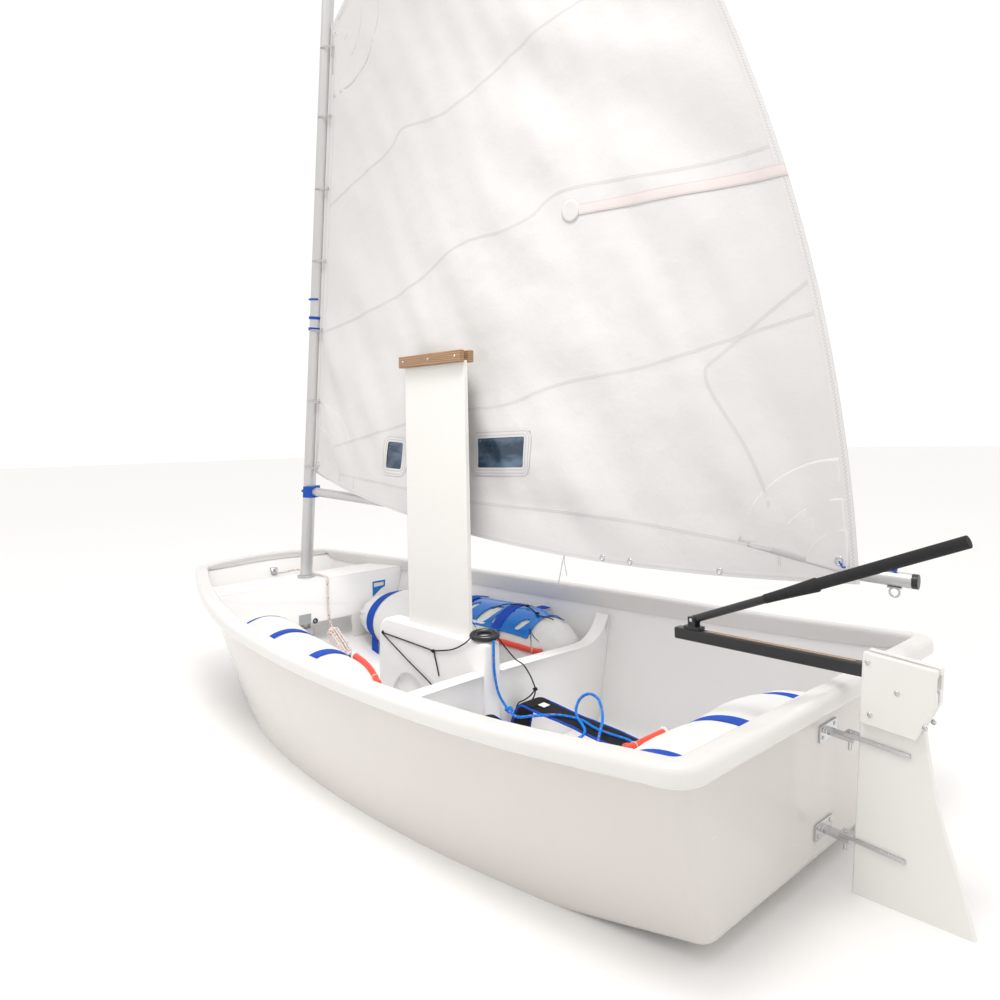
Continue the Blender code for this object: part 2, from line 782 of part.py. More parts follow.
def sail_point(s, t):
    """The sail's surface as (u, v, w): s from luff to leech, t from foot to head."""
    u0, v0 = throat()
    up, vp = peak()
    luff = np.array((u0, TACK_V + (v0 - TACK_V) * t))
    leech = np.array((CLEW_U + (up - CLEW_U) * t, CLEW_V + (vp - CLEW_V) * t))
    run = np.array((vp - CLEW_V, CLEW_U - up)) / LEECH
    leech = leech + run * ROACH * 4 * t * (1 - t) * (1.25 - 0.5 * t)
    place = luff * (1 - s) + leech * s
    place = place + np.array((0.0, -FOOT_DROP * 4 * s * (1 - s) * (1 - t) ** 3))
    belly = 0.030 * math.sin(math.pi * min(s * 1.1, 1.0)) * (0.35 + 0.65 * (1 - t))
    clear = (BOOM_RADIUS + 0.006) * math.exp(-((t / 0.22) ** 2)) * min(1.0, s / 0.12)
    return (place[0], place[1], belly + clear)


def make_sail():
    bm = bmesh.new()
    grid = []
    for j in range(SAIL_ROWS + 1):
        row = []
        for i in range(SAIL_COLUMNS + 1):
            u, v, w = sail_point(i / SAIL_COLUMNS, j / SAIL_ROWS)
            row.append(bm.verts.new(mast_point(v, u, w)))
        grid.append(row)
    for a, b in zip(grid, grid[1:]):
        for i in range(SAIL_COLUMNS):
            bm.faces.new((a[i], a[i + 1], b[i + 1], b[i]))
    made = add_object("sail", mesh_from_bmesh("sail", bm), SAILCLOTH)
    cloth = made.modifiers.new("cloth", "SOLIDIFY")
    cloth.thickness = SAIL_THICK
    cloth.offset = 0.0
    settle(made)
    smooth_shade(made, 60)


def make_mast():
    tip = mast_foot() + (mast_point(1) - mast_point(0)) * MAST_LENGTH
    rod("mast", mast_foot(), tip, MAST_RADIUS, ALUMINIUM, sides=32)
    collar = rod("mast_collar", (MAST_X, 0, THWART_TOP + GAP), (MAST_X, 0, THWART_TOP + COLLAR_HEIGHT),
                 MAST_RADIUS + 0.010, PLASTIC_GREY, sides=32)
    hole = rod("collar_hole", mast_point(-0.1), mast_point(0.1), MAST_RADIUS + MAST_PLAY,
               sides=32, cutter=True)
    boolean(collar, hole)
    smooth_shade(collar)


def make_boom():
    end = boom_axis(BOOM_LENGTH)
    rod("boom", boom_axis(MAST_RADIUS + 0.012), end, BOOM_RADIUS, ALUMINIUM, sides=24)
    frame = rig_frame()
    arc = [math.radians(a) for a in range(-75, 76, 15)]
    outer, inner = MAST_RADIUS + 0.016, MAST_RADIUS + 0.0012
    jaw = [(outer * -math.cos(math.radians(180) + a) - 0.0, outer * math.sin(a)) for a in arc]
    mouth = [(inner * math.cos(a), inner * math.sin(a)) for a in arc[::-1]]
    turned = frame @ Matrix.Translation((0, boom_v(0.0), 0)) @ Matrix.Rotation(math.radians(90), 4, "X")
    jaws = plate("boom_jaws", jaw + mouth, 0.040, PLASTIC_BLACK, frame=turned)
    socket = rod("boom_socket", boom_axis(MAST_RADIUS), end, BOOM_RADIUS + GAP,
                 sides=24, cutter=True)
    boolean(jaws, socket)
    smooth_shade(jaws)


def sprit_line():
    """Ends of the sprit's axis, beside the mast and beside the sail's peak."""
    (u0, v0), (u1, v1) = sprit_ends()
    side_low = -(MAST_RADIUS + SPRIT_RADIUS + CLOTH_GAP)
    side_high = -(SPRIT_RADIUS + SAIL_THICK + 0.004)
    return mast_point(v0, u0, side_low), mast_point(v1, u1, side_high)


def make_sprit():
    low, high = sprit_line()
    rod("sprit", low, high, SPRIT_RADIUS, ALUMINIUM, sides=20)


# Daggerboard

def make_board():
    half = BOARD_WIDTH / 2
    low = BOARD_TOP - BOARD_LENGTH
    round_foot = 0.035
    outline = [(BOARD_X - half, BOARD_TOP), (BOARD_X - half, low + round_foot)]
    for k in range(1, 6):
        a = math.radians(18 * k)
        outline.append((BOARD_X - half + round_foot * (1 - math.cos(a)),
                        low + round_foot * (1 - math.sin(a))))
    outline += [(BOARD_X + half - round_foot, low)]
    for k in range(1, 6):
        a = math.radians(18 * k)
        outline.append((BOARD_X + half - round_foot * (1 - math.sin(a)),
                        low + round_foot * (1 - math.cos(a))))
    outline += [(BOARD_X + half, BOARD_TOP)]
    board = plate("daggerboard", outline, BOARD_THICK, FOIL, frame=lengthwise())
    bevel(board, 0.004, 2, 50)
    smooth_shade(board)
    for side, name in ((1, "head_batten_port"), (-1, "head_batten_starboard")):
        near = side * (BOARD_THICK / 2 + GAP)
        far = side * (BOARD_THICK / 2 + GAP + HEAD_BATTEN_THICK)
        low_z = BOARD_TOP + HEAD_BATTEN_RISE - HEAD_BATTEN_HEIGHT
        batten = box(name, (BOARD_X - half - 0.006, min(near, far), low_z),
                     (BOARD_X + half + 0.006, max(near, far), BOARD_TOP + HEAD_BATTEN_RISE), WOOD)
        bevel(batten, 0.002, 1)


# Rudder and tiller

def axis_x(z):
    """Where the pintles' axis lies at a height, parallel to the transom."""
    head = hull_value(2, 0.0)
    foot = hull_value(4, 0.0)
    return STERN_X - RUDDER_AXIS_OUT + TRANSOM_RAKE * (head - z) / (head - foot)


def rudder_frame():
    """Frame with its Z up the pintles' axis and its X forward, square to it."""
    tilt = math.atan2(axis_x(1.0) - axis_x(0.0), 1.0)
    return Matrix.Translation((axis_x(0.0), 0, 0)) @ Matrix.Rotation(tilt, 4, "Y")


def up_the_axis(z):
    """Distance along the pintles' axis from the waterline to a height."""
    return z / math.cos(math.atan2(axis_x(1.0) - axis_x(0.0), 1.0))


def make_gudgeon(name, height):
    frame = rudder_frame()
    wall = RUDDER_AXIS_OUT / math.hypot(1.0, axis_x(1.0) - axis_x(0.0)) - GAP
    arm = box(name, (-GUDGEON_EYE, -GUDGEON_EYE, height - 0.004),
              (wall - 0.001, GUDGEON_EYE, height + 0.004), frame=frame)
    pad = box(name + "_pad", (wall - 0.004, -0.035, height - 0.016),
              (wall, 0.035, height + 0.016), frame=frame)
    made = unite(name, [arm, pad], STEEL)
    low = frame @ Vector((0, 0, height - 0.1))
    high = frame @ Vector((0, 0, height + 0.1))
    boolean(made, rod(name + "_hole", low, high, PINTLE_RADIUS + PINTLE_PLAY, sides=16, cutter=True))


def make_pintle(name, height):
    frame = rudder_frame()
    low = height + 0.004 + GAP
    pin = rod(name, frame @ Vector((0, 0, height - 0.022)), frame @ Vector((0, 0, low + 0.010)),
              PINTLE_RADIUS, sides=16)
    arm = box(name + "_arm", (-0.110, -GUDGEON_EYE, low), (GUDGEON_EYE * 0.8, GUDGEON_EYE, low + 0.008),
              frame=frame)
    made = unite(name, [pin, arm], STEEL)
    side = BLADE_THICK / 2 + GAP
    space = box(name + "_space", (-0.2, -side, height - 0.1), (BLADE_FRONT + GAP, side, height + 0.1),
                cutter=True, frame=frame)
    boolean(made, space)


def tiller_space(name):
    half = TILLER_SIDE / 2 + GAP
    return box(name + "_slot", (axis_x(TILLER_Z) - 0.3, -half, TILLER_Z - half),
               (axis_x(TILLER_Z) + 0.1, half, TILLER_Z + half), cutter=True)


def make_rudder():
    for k, z in enumerate((GUDGEON_LOW, GUDGEON_HIGH)):
        make_gudgeon("gudgeon_%d" % (k + 1), up_the_axis(z))
        make_pintle("pintle_%d" % (k + 1), up_the_axis(z))
    frame = rudder_frame() @ lengthwise()
    edge = smooth_curve([(-0.055, -0.315), (-0.120, -0.335), (-0.200, -0.305), (-0.245, -0.215),
                         (-0.250, -0.090), (-0.215, 0.060), (-0.165, 0.200), (-0.135, 0.330),
                         (-0.125, HEAD_TOP - 0.060)], 4)
    outline = [(BLADE_FRONT, HEAD_TOP - 0.060), (BLADE_FRONT, -0.050), (BLADE_FRONT - 0.010, -0.220)]
    outline += [(float(a), float(b)) for a, b in edge]
    blade = plate("rudder_blade", outline, BLADE_THICK, FOIL, frame=frame)
    bevel(blade, 0.003, 1, 50)
    boolean(blade, tiller_space("blade"))
    smooth_shade(blade)
    for side, name in ((1, "rudder_cheek_port"), (-1, "rudder_cheek_starboard")):
        y = side * (BLADE_THICK / 2 + GAP + CHEEK_THICK / 2)
        shape = [(BLADE_FRONT - 0.004, 0.330), (BLADE_FRONT - 0.004, HEAD_TOP), (-0.150, HEAD_TOP),
                 (-0.150, 0.400), (-0.120, 0.330)]
        cheek = plate(name, shape, CHEEK_THICK, FOIL, frame=Matrix.Translation((0, y, 0)) @ frame)
        boolean(cheek, tiller_space(name))
        bevel(cheek, 0.002, 1)


def make_tiller():
    half = TILLER_SIDE / 2
    aft = axis_x(TILLER_Z) - 0.130
    tiller = box("tiller", (aft, -half, TILLER_Z - half), (TILLER_FORWARD_X, half, TILLER_Z + half),
                 PLASTIC_BLACK)
    bevel(tiller, 0.003, 2)
    smooth_shade(tiller)


def extension_point(r):
    """A point on the extension's axis, r metres from its pivot."""
    pivot = Vector((EXTENSION_X, 0, TILLER_Z + TILLER_SIDE / 2 + PIVOT_RISE))
    return pivot + Vector((-math.cos(EXTENSION_RISE), 0, math.sin(EXTENSION_RISE))) * r


def make_extension():
    """Extension hung between two ears of a joint on the tiller, and its grip."""
    pivot = extension_point(0.0)
    top = TILLER_Z + TILLER_SIDE / 2 + GAP
    ear = EXTENSION_RADIUS + GAP
    pieces = [box("extension_joint", (pivot.x - 0.020, -ear - EAR_THICK, top),
                  (pivot.x + 0.020, ear + EAR_THICK, top + 0.007))]
    for side in (1, -1):
        near, far = sorted((side * ear, side * (ear + EAR_THICK)))
        pieces.append(box("ear", (pivot.x - 0.008, near, top + 0.004),
                          (pivot.x + 0.008, far, pivot.z + 0.007)))
    pieces.append(rod("pin", (pivot.x, -ear - 0.001, pivot.z), (pivot.x, ear + 0.001, pivot.z),
                      EAR_PIN, sides=16))
    unite("extension_joint", pieces, PLASTIC_BLACK)
    half = EXTENSION_LENGTH * 0.5
    pole = rod("extension_tube", extension_point(-0.009), extension_point(half), EXTENSION_RADIUS,
               PLASTIC_BLACK, sides=16)
    boolean(pole, rod("pin_hole", pivot - Vector((0, 0.1, 0)), pivot + Vector((0, 0.1, 0)),
                      EAR_PIN + GAP, sides=16, cutter=True))
    smooth_shade(pole)
    rod("extension_grip", extension_point(half + GAP), extension_point(EXTENSION_LENGTH),
        EXTENSION_RADIUS + 0.003, PLASTIC_BLACK, sides=16)


# Buoyancy bags and their straps

def side_inner(x, z):
    """Half breadth inside the topside at a place and height."""
    low = (x - STERN_X - TRANSOM_RAKE) / (HULL_LENGTH - TRANSOM_RAKE - BOW_RAKE)
    high = (x - STERN_X) / HULL_LENGTH
    t = (z - hull_value(4, low)) / (hull_value(2, high) - hull_value(4, low))
    return hull_value(3, low) + (hull_value(1, high) - hull_value(3, low)) * t - SKIN


def fullness(f):
    """Share of a bag's full section at f along it, from seam (0) to seam (1)."""
    return BAG_SEAM + (1 - BAG_SEAM) * (1 - min(abs(2 * f - 1), 1.0) ** 5) ** 0.5


def bag_stations(low, high, marks):
    """Places of a bag's rings, closer at its ends, with the marks among them."""
    evenly = [low + (high - low) * (1 - math.cos(math.pi * k / 14)) / 2 for k in range(15)]
    kept = [p for p in evenly if all(abs(p - m) > 0.006 for m in marks)]
    return sorted(kept + list(marks))


def side_bag_stations():
    marks = [p + s * STRAP_WIDTH / 2 for p in STRAP_PLACES for s in (-1, 1)]
    return bag_stations(BAG_AFT_X, BAG_FORWARD_X, marks + [BAILER_AFT_X, BAILER_FORWARD_X])


def aft_bag_stations():
    marks = [p + s * STRAP_WIDTH / 2 for p in AFT_STRAP_PLACES for s in (-1, 1)]
    return bag_stations(-AFT_BAG_HALF_LENGTH, AFT_BAG_HALF_LENGTH, marks)


def side_bag_point(x, angle, off, side):
    """A point off a side bag: angle 0 faces the middle of the boat, 90 degrees is up."""
    full = fullness((x - BAG_AFT_X) / (BAG_FORWARD_X - BAG_AFT_X))
    floor = bottom_height(x) + SKIN
    half = (BAG_TOP - floor) / 2
    middle = side_inner(x, floor + half) - BAG_INSET
    return Vector((x, side * (middle - (BAG_HALF_WIDTH * full + off) * math.cos(angle)),
                   floor + half + (half * full + off) * math.sin(angle)))


def aft_bag_point(y, angle, off):
    """A point off the aft bag: angle 0 faces forward, 90 degrees is up."""
    full = fullness((y + AFT_BAG_HALF_LENGTH) / (2 * AFT_BAG_HALF_LENGTH))
    middle = STERN_X + TRANSOM_RAKE / 2 + AFT_BAG_INSET + SKIN
    floor = bottom_height(middle) + SKIN
    half = (AFT_BAG_TOP - floor) / 2
    return Vector((middle + (AFT_BAG_HALF_WIDTH * full + off) * math.cos(angle), y,
                   floor + half + (half * full + off) * math.sin(angle)))


def facet(k):
    return 2 * math.pi * k / BAG_SIDES


def make_bag(name, stations, point, inside):
    """A full bag pressed against the laminate round it."""
    loops = [[point(s, facet(k), 0.0) for k in range(BAG_SIDES)] for s in stations]
    made = loft(name, loops, BAG_FABRIC)
    boolean(made, inside, "INTERSECT")
    smooth_shade(made, 50)


def make_strap(name, place, point, lift, inside):
    """Webbing from the floor over a bag to the laminate behind it."""
    low, high = place - STRAP_WIDTH / 2, place + STRAP_WIDTH / 2
    loops = []
    for k in range(-2, 8):
        loops.append([point(low, facet(k), lift), point(high, facet(k), lift),
                      point(high, facet(k), lift + STRAP_THICK),
                      point(low, facet(k), lift + STRAP_THICK)])
    foot = [Vector((p.x, p.y, -0.2)) for p in loops[0]]
    away = (loops[-1][0] - loops[-2][0])
    away.z = 0.0
    head = [p + away.normalized() * 0.4 for p in loops[-1]]
    made = loft(name, [foot] + loops + [head], WEBBING)
    boolean(made, inside, "INTERSECT")
    smooth_shade(made, 50)


def make_bags(inside):
    for side, name in ((1, "port"), (-1, "starboard")):
        def point(x, angle, off, side=side):
            return side_bag_point(x, angle, off, side)
        make_bag(name + "_bag", side_bag_stations(), point, inside)
        for k, place in enumerate(STRAP_PLACES):
            over = BAILER_THICK + CLOTH_GAP if side < 0 and place < BAILER_FORWARD_X else 0.0
            make_strap("%s_strap_%d" % (name, k + 1), place, point, CLOTH_GAP + over, inside)
        start = STRAP_PLACES[0] - STRAP_WIDTH / 2 - 3 * CLOTH_GAP
        angle = facet(3 if side > 0 else 1.5)
        run = [point(start - 0.012 * k, angle, TUBE_RADIUS + CLOTH_GAP) for k in range(14)]
        tube(name + "_bag_tube", run, TUBE_RADIUS, RED_TUBE, 3)
    make_bag("aft_bag", aft_bag_stations(), aft_bag_point, inside)
    for k, place in enumerate(AFT_STRAP_PLACES):
        make_strap("aft_strap_%d" % (k + 1), place, aft_bag_point, CLOTH_GAP, inside)
    run = [aft_bag_point(0.060 + 0.012 * k, facet(2), TUBE_RADIUS + CLOTH_GAP) for k in range(12)]
    tube("aft_bag_tube", run, TUBE_RADIUS, RED_TUBE, 3)


def make_bailer():
    """Scoop cut from a curved sheet, lying on the starboard bag."""
    arc = [facet(k) for k in range(3, 8)]
    loops = []
    for x in side_bag_stations():
        if BAILER_AFT_X <= x <= BAILER_FORWARD_X:
            under = [side_bag_point(x, a, CLOTH_GAP, -1) for a in arc]
            upper = [side_bag_point(x, a, CLOTH_GAP + BAILER_THICK, -1) for a in arc[::-1]]
            loops.append(under + upper)
    made = loft("bailer", loops, BLUE_PLASTIC)
    for k, x in enumerate(BAILER_SLOTS):
        here = side_bag_point(x, facet(4), 0.0, -1)
        out = (side_bag_point(x, facet(4), 0.1, -1) - here).normalized()
        turn = out.to_track_quat("Z", "X").to_matrix().to_4x4()
        ahead = (turn.inverted() @ Vector((1, 0, 0)))
        spin = Matrix.Rotation(math.atan2(ahead.y, ahead.x) + math.radians(20), 4, "Z")
        frame = Matrix.Translation(here) @ turn @ spin
        half = SLOT_WIDTH / 2
        boolean(made, box("slot_%d" % k, (-half, -SLOT_LENGTH / 2, -0.03), (half, SLOT_LENGTH / 2, 0.03),
                          cutter=True, frame=frame))
    smooth_shade(made, 50)


# Hiking straps and ropes

def ribbon(name, path, width, thick, y, finish):
    """A strap of even thickness along (x, z) points, centred on y."""
    loops = []
    for i, (x, z) in enumerate(path):
        before, after = path[max(i - 1, 0)], path[min(i + 1, len(path) - 1)]
        run = Vector((after[0] - before[0], 0, after[1] - before[1])).normalized()
        lift = Vector((-run.z, 0, run.x)) * thick / 2
        middle = Vector((x, y, z))
        near, far = Vector((0, -width / 2, 0)), Vector((0, width / 2, 0))
        loops.append([middle + near - lift, middle + far - lift, middle + far + lift, middle + near + lift])
    return loft(name, loops, finish)


def toe_z(x):
    return TOE_FORWARD_Z + (TOE_AFT_Z - TOE_FORWARD_Z) * (TOE_FORWARD_X - x) / (TOE_FORWARD_X - TOE_AFT_X)


def make_hiking_straps(inside):
    front, back = TOE_FORWARD_X, TOE_AFT_X
    path = [(front + 0.045, -0.2), (front + 0.045, -0.01), (front + 0.033, 0.050), (front + 0.012, 0.095),
            (front - 0.012, toe_z(front - 0.012))]
    path += [(front - 0.05 * k, toe_z(front - 0.05 * k)) for k in range(1, 9)]
    path += [(back + 0.015, toe_z(back + 0.015)), (back - 0.008, TOE_AFT_Z - 0.012),
             (back - 0.020, TOE_AFT_Z - 0.040), (back - 0.022, -0.2)]
    for side, name in ((1, "hiking_strap_port"), (-1, "hiking_strap_starboard")):
        made = ribbon(name, path, TOE_WIDTH, TOE_THICK, side * TOE_Y, BLACK_WEBBING)
        boolean(made, inside, "INTERSECT")
        smooth_shade(made, 50)


def on_toe(x, y, rise=0.0):
    """A point of the sheet where it lies on the starboard hiking strap."""
    return (x, y, toe_z(x) + TOE_THICK / 2 + SHEET_RADIUS + CLOTH_GAP + rise)


def floor_z(x):
    return bottom_height(x) + SKIN


def rope(name, points, radius, finish, steps=4):
    return tube(name, [tuple(p) for p in smooth_curve(points, steps)], radius, finish, 2)


def sheet_face_x():
    """Where the sheet runs down the aft face of the case."""
    return CASE_AFT_X - SHEET_RADIUS - CLOTH_GAP


def ring_points():
    """Racetrack of the sheet's ring, tilted, its lowest point on the case."""
    turn = Matrix.Rotation(RING_TILT, 4, "X") @ Matrix.Rotation(math.radians(-35), 4, "Z")
    loop = [turn @ Vector((RING_LONG * math.cos(a), RING_SHORT * math.sin(a), 0))
            for a in [2 * math.pi * k / 24 for k in range(24)]]
    low = min(p.z for p in loop)
    middle = Vector((sheet_face_x() - min(p.x for p in loop), 0.006, CASE_TOP + GAP + RING_RADIUS - low))
    return [p + middle for p in loop]


def coil_point(degrees):
    """Middle line of the put-away sheet on the floor between the hiking straps."""
    a = math.radians(degrees)
    rest = floor_z(COIL_X - COIL_LONG) + COIL_THICK / 2 + CLOTH_GAP
    return Vector((COIL_X + COIL_LONG * math.cos(a), COIL_Y + COIL_SHORT * math.sin(a), rest))


def coil_top(degrees, rise):
    return coil_point(degrees) + Vector((0, 0, COIL_THICK / 2 + GAP + rise))


def make_sheet():
    ring = ring_points()
    tube("sheet_block", ring, RING_RADIUS, PLASTIC_BLACK, 3, cyclic=True)
    face = sheet_face_x()
    start = min(ring, key=lambda p: p.x)
    under = start.z - RING_RADIUS - 2 * END_LIFT
    down = [(face, start.y, under), (face, start.y, under - 0.010), (face, start.y, under - 0.024),
            (face - 0.001, start.y, 0.205), (face - 0.010, -0.004, 0.150),
            (face - 0.026, -0.012, 0.118), (face - 0.056, -0.006, 0.106), (-0.285, 0.005, 0.104),
            (-0.325, -0.022, 0.110), on_toe(-0.360, -0.066, 0.002), on_toe(-0.395, -0.092),
            on_toe(-0.430, -0.098), on_toe(-0.480, -0.088), on_toe(-0.530, -0.092),
            on_toe(-0.580, -0.100), on_toe(-0.612, -0.082), on_toe(-0.634, -0.059, 0.002),
            (-0.645, -0.046, 0.081), (-0.642, -0.032, 0.062), (-0.618, -0.012, 0.030),
            coil_top(205, 0.016), coil_top(205, END_LIFT)]
    rope("mainsheet", down, SHEET_RADIUS, BLUE_ROPE)
    tail = [coil_top(100, END_LIFT), coil_top(100, 0.020), (-0.545, 0.018, 0.050), (-0.549, -0.008, 0.092),
            (-0.538, -0.040, 0.122), (-0.520, -0.070, 0.136), (-0.498, -0.094, 0.152),
            (-0.472, -0.110, 0.168), (-0.444, -0.110, 0.174), (-0.424, -0.098, 0.162),
            (-0.422, -0.080, 0.140), (-0.438, -0.066, 0.122), (-0.462, -0.056, 0.114),
            (-0.486, -0.040, 0.106), (-0.492, -0.020, 0.100), (-0.482, -0.004, 0.092)]
    rope("mainsheet_tail", tail, SHEET_RADIUS, BLUE_ROPE)
    turn = [coil_point(18 * k) for k in range(20)]
    tube("mainsheet_coil", turn, COIL_THICK / 2, BLUE_ROPE, 2, cyclic=True)


def make_painter(inside):
    wall = BOW_X - BOW_RAKE * 0.25 - SKIN
    eye_z = hull_value(2, 1.0) - 0.045
    eye_x = wall - 0.021
    pad = box("bow_eye", (wall - 0.012, -0.012, eye_z - 0.016), (wall + 0.03, 0.012, eye_z + 0.016))
    boolean(pad, inside, "INTERSECT")
    pad.data.transform(Matrix.Translation((-2 * GAP, 0, 0)))
    loop = [Vector((eye_x - EYE_RADIUS * math.cos(a), 0, eye_z + EYE_RADIUS * math.sin(a)))
            for a in [2 * math.pi * k / 16 for k in range(16)]]
    eye = tube("eye", loop, EYE_WIRE, STEEL, 2, cyclic=True)
    unite("bow_eye", [pad, eye], STEEL)
    top = THWART_TOP + PAINTER_RADIUS + 0.0008
    edge = THWART_AFT_X - PAINTER_RADIUS - 0.0008
    side = -(MAST_RADIUS + 0.010 + PAINTER_RADIUS + 0.006)
    start = eye_x - EYE_RADIUS - EYE_WIRE - PAINTER_RADIUS
    floor = PAINTER_RADIUS + 0.0036
    route = [(start - 0.002, -0.002, eye_z), (start - 0.030, -0.008, eye_z + 0.004),
             (THWART_AFT_X + THWART_DEPTH + 0.05, side * 0.8, top + 0.004),
             (THWART_AFT_X + THWART_DEPTH - 0.01, side, top), (MAST_X, side - 0.001, top),
             (THWART_AFT_X + 0.022, side, top + 0.0005), (THWART_AFT_X + 0.005, side, top + 0.0008),
             (edge + 0.0002, side, top), (edge - 0.0012, side, THWART_TOP - 0.006),
             (edge - 0.001, side, THWART_TOP - 0.040),
             (edge - 0.001, side - 0.002, 0.240), (edge - 0.002, side - 0.004, 0.180),
             (edge - 0.014, side - 0.022, 0.145), (0.710, side - HANK_WIDE, 0.117),
             (0.665, side - HANK_WIDE, 0.088), (0.625, side - HANK_WIDE, floor_z(0.625) + floor + 0.010),
             (0.590, side - 0.022, floor_z(0.590) + floor), (0.550, side - 0.020, floor_z(0.550) + floor),
             (0.515, side - 0.016, floor_z(0.515) + floor)]
    rope("painter", route, PAINTER_RADIUS, PAINTER_ROPE)
    head, foot = Vector((edge - 0.022, side, 0.156)), Vector((0.632, side, floor_z(0.632) + 0.018))
    run = (foot - head).normalized()
    wide = Vector((0, 1, 0))
    tall = run.cross(wide).normalized()
    loops = []
    for f, r in ((0, .5), (.06, .85), (.2, 1), (.35, .82), (.5, .9), (.65, .82), (.8, 1), (.94, .85), (1, .5)):
        middle = head.lerp(foot, f)
        loops.append([middle + wide * HANK_HALF * r * math.cos(a) + tall * 0.015 * r * math.sin(a)
                      for a in [2 * math.pi * k / 12 for k in range(12)]])
    loft("painter_hank", loops, PAINTER_ROPE)


# Small fittings of the rig

def spar_plug(name, end, before, radius):
    out = (end - before).normalized()
    rod(name, end + out * GAP, end + out * (GAP + PLUG_LENGTH), radius, PLASTIC_BLACK, sides=24)


def boom_eye(name, u):
    """Eye under the boom, on its pad."""
    lean = Matrix.Rotation(math.atan2(BOOM_HIGH - BOOM_LOW, BOOM_LENGTH), 4, "Z")
    frame = rig_frame() @ Matrix.Translation((u, boom_v(u), 0)) @ lean
    low = -(BOOM_RADIUS + GAP)
    pad = box(name, (-0.014, low - 0.004, -0.006), (0.014, low, 0.006), frame=frame)
    loop = [frame @ Vector((EYE_RADIUS * math.cos(a), low - 0.003 - EYE_RADIUS + EYE_RADIUS * math.sin(a), 0))
            for a in [2 * math.pi * k / 16 for k in range(16)]]
    eye = tube("eye", loop, EYE_WIRE, STEEL, 2, cyclic=True)
    unite(name, [pad, eye], STEEL)


def mast_turn(name, v, first, last, radius):
    """A turn of line round the mast between two angles, 0 being aft."""
    around = MAST_RADIUS + CLOTH_GAP + radius
    steps = 24
    run = []
    for k in range(steps + 1):
        a = math.radians(first + (last - first) * k / steps)
        run.append(mast_point(v, around * math.cos(a), around * math.sin(a)))
    tube(name, run, radius, BLUE_ROPE, 2)


def make_rig_fittings():
    tip = mast_foot() + (mast_point(1) - mast_point(0)) * MAST_LENGTH
    spar_plug("mast_plug", tip, mast_foot(), MAST_RADIUS)
    spar_plug("boom_plug", boom_axis(BOOM_LENGTH), boom_axis(0.0), BOOM_RADIUS)
    low, high = sprit_line()
    spar_plug("sprit_plug_low", low, high, SPRIT_RADIUS)
    spar_plug("sprit_plug_high", high, low, SPRIT_RADIUS)
    boom_eye("boom_eye_mid", BOOM_LENGTH * 0.52)
    boom_eye("boom_eye_end", BOOM_LENGTH - 0.035)
    mast_turn("sprit_strop", STROP_V, 25, 335, STROP_RADIUS)
    mast_turn("boom_lashing", boom_v(0.0), 86, 274, STROP_RADIUS)


clear_scene()
PARTS = make_collection(NAME)
CUTTERS = make_collection("cutters")
GELCOAT = make_material("white gelcoat", (0.80, 0.79, 0.77), 0.25)
ALUMINIUM = make_material("anodised aluminium", (0.62, 0.63, 0.65), 0.38, 1.0)
STEEL = make_material("stainless steel", (0.60, 0.60, 0.60), 0.25, 1.0)
SAILCLOTH = make_material("sailcloth", (0.86, 0.86, 0.85), 0.6)
FOIL = make_material("white foil lacquer", (0.84, 0.83, 0.80), 0.35)
WOOD = make_material("varnished wood", (0.62, 0.47, 0.31), 0.4)
PLASTIC_BLACK = make_material("black plastic", (0.02, 0.02, 0.022), 0.45)
PLASTIC_GREY = make_material("grey plastic", (0.45, 0.46, 0.47), 0.5)
BAG_FABRIC = make_material("white bag fabric", (0.80, 0.80, 0.80), 0.5)
WEBBING = make_material("blue webbing", (0.05, 0.10, 0.50), 0.7)
BLACK_WEBBING = make_material("black webbing", (0.02, 0.02, 0.025), 0.8)
RED_TUBE = make_material("red plastic tube", (0.70, 0.06, 0.03), 0.35)
BLUE_PLASTIC = make_material("blue plastic", (0.02, 0.12, 0.60), 0.3)
BLUE_ROPE = make_material("blue rope", (0.02, 0.20, 0.75), 0.7)
PAINTER_ROPE = make_material("white rope", (0.78, 0.72, 0.66), 0.7)

INSIDE = hull_inside("hull_inside", GAP)
SOFT_INSIDE = hull_inside("soft_inside", CLOTH_GAP)
make_hull()
make_gunwale()
make_thwart(INSIDE)
make_step(INSIDE)
make_frame(INSIDE)
make_case(INSIDE)
make_mast()
make_boom()
make_sprit()
make_sail()
make_board()
make_rudder()
make_tiller()
make_extension()
make_bags(SOFT_INSIDE)
make_bailer()
make_hiking_straps(SOFT_INSIDE)
make_sheet()
make_painter(INSIDE)
make_rig_fittings()
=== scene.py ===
import bpy, bmesh, json, math
import numpy as np
from mathutils import Matrix, Vector, noise
from mathutils.bvhtree import BVHTree
from mathutils.geometry import barycentric_transform


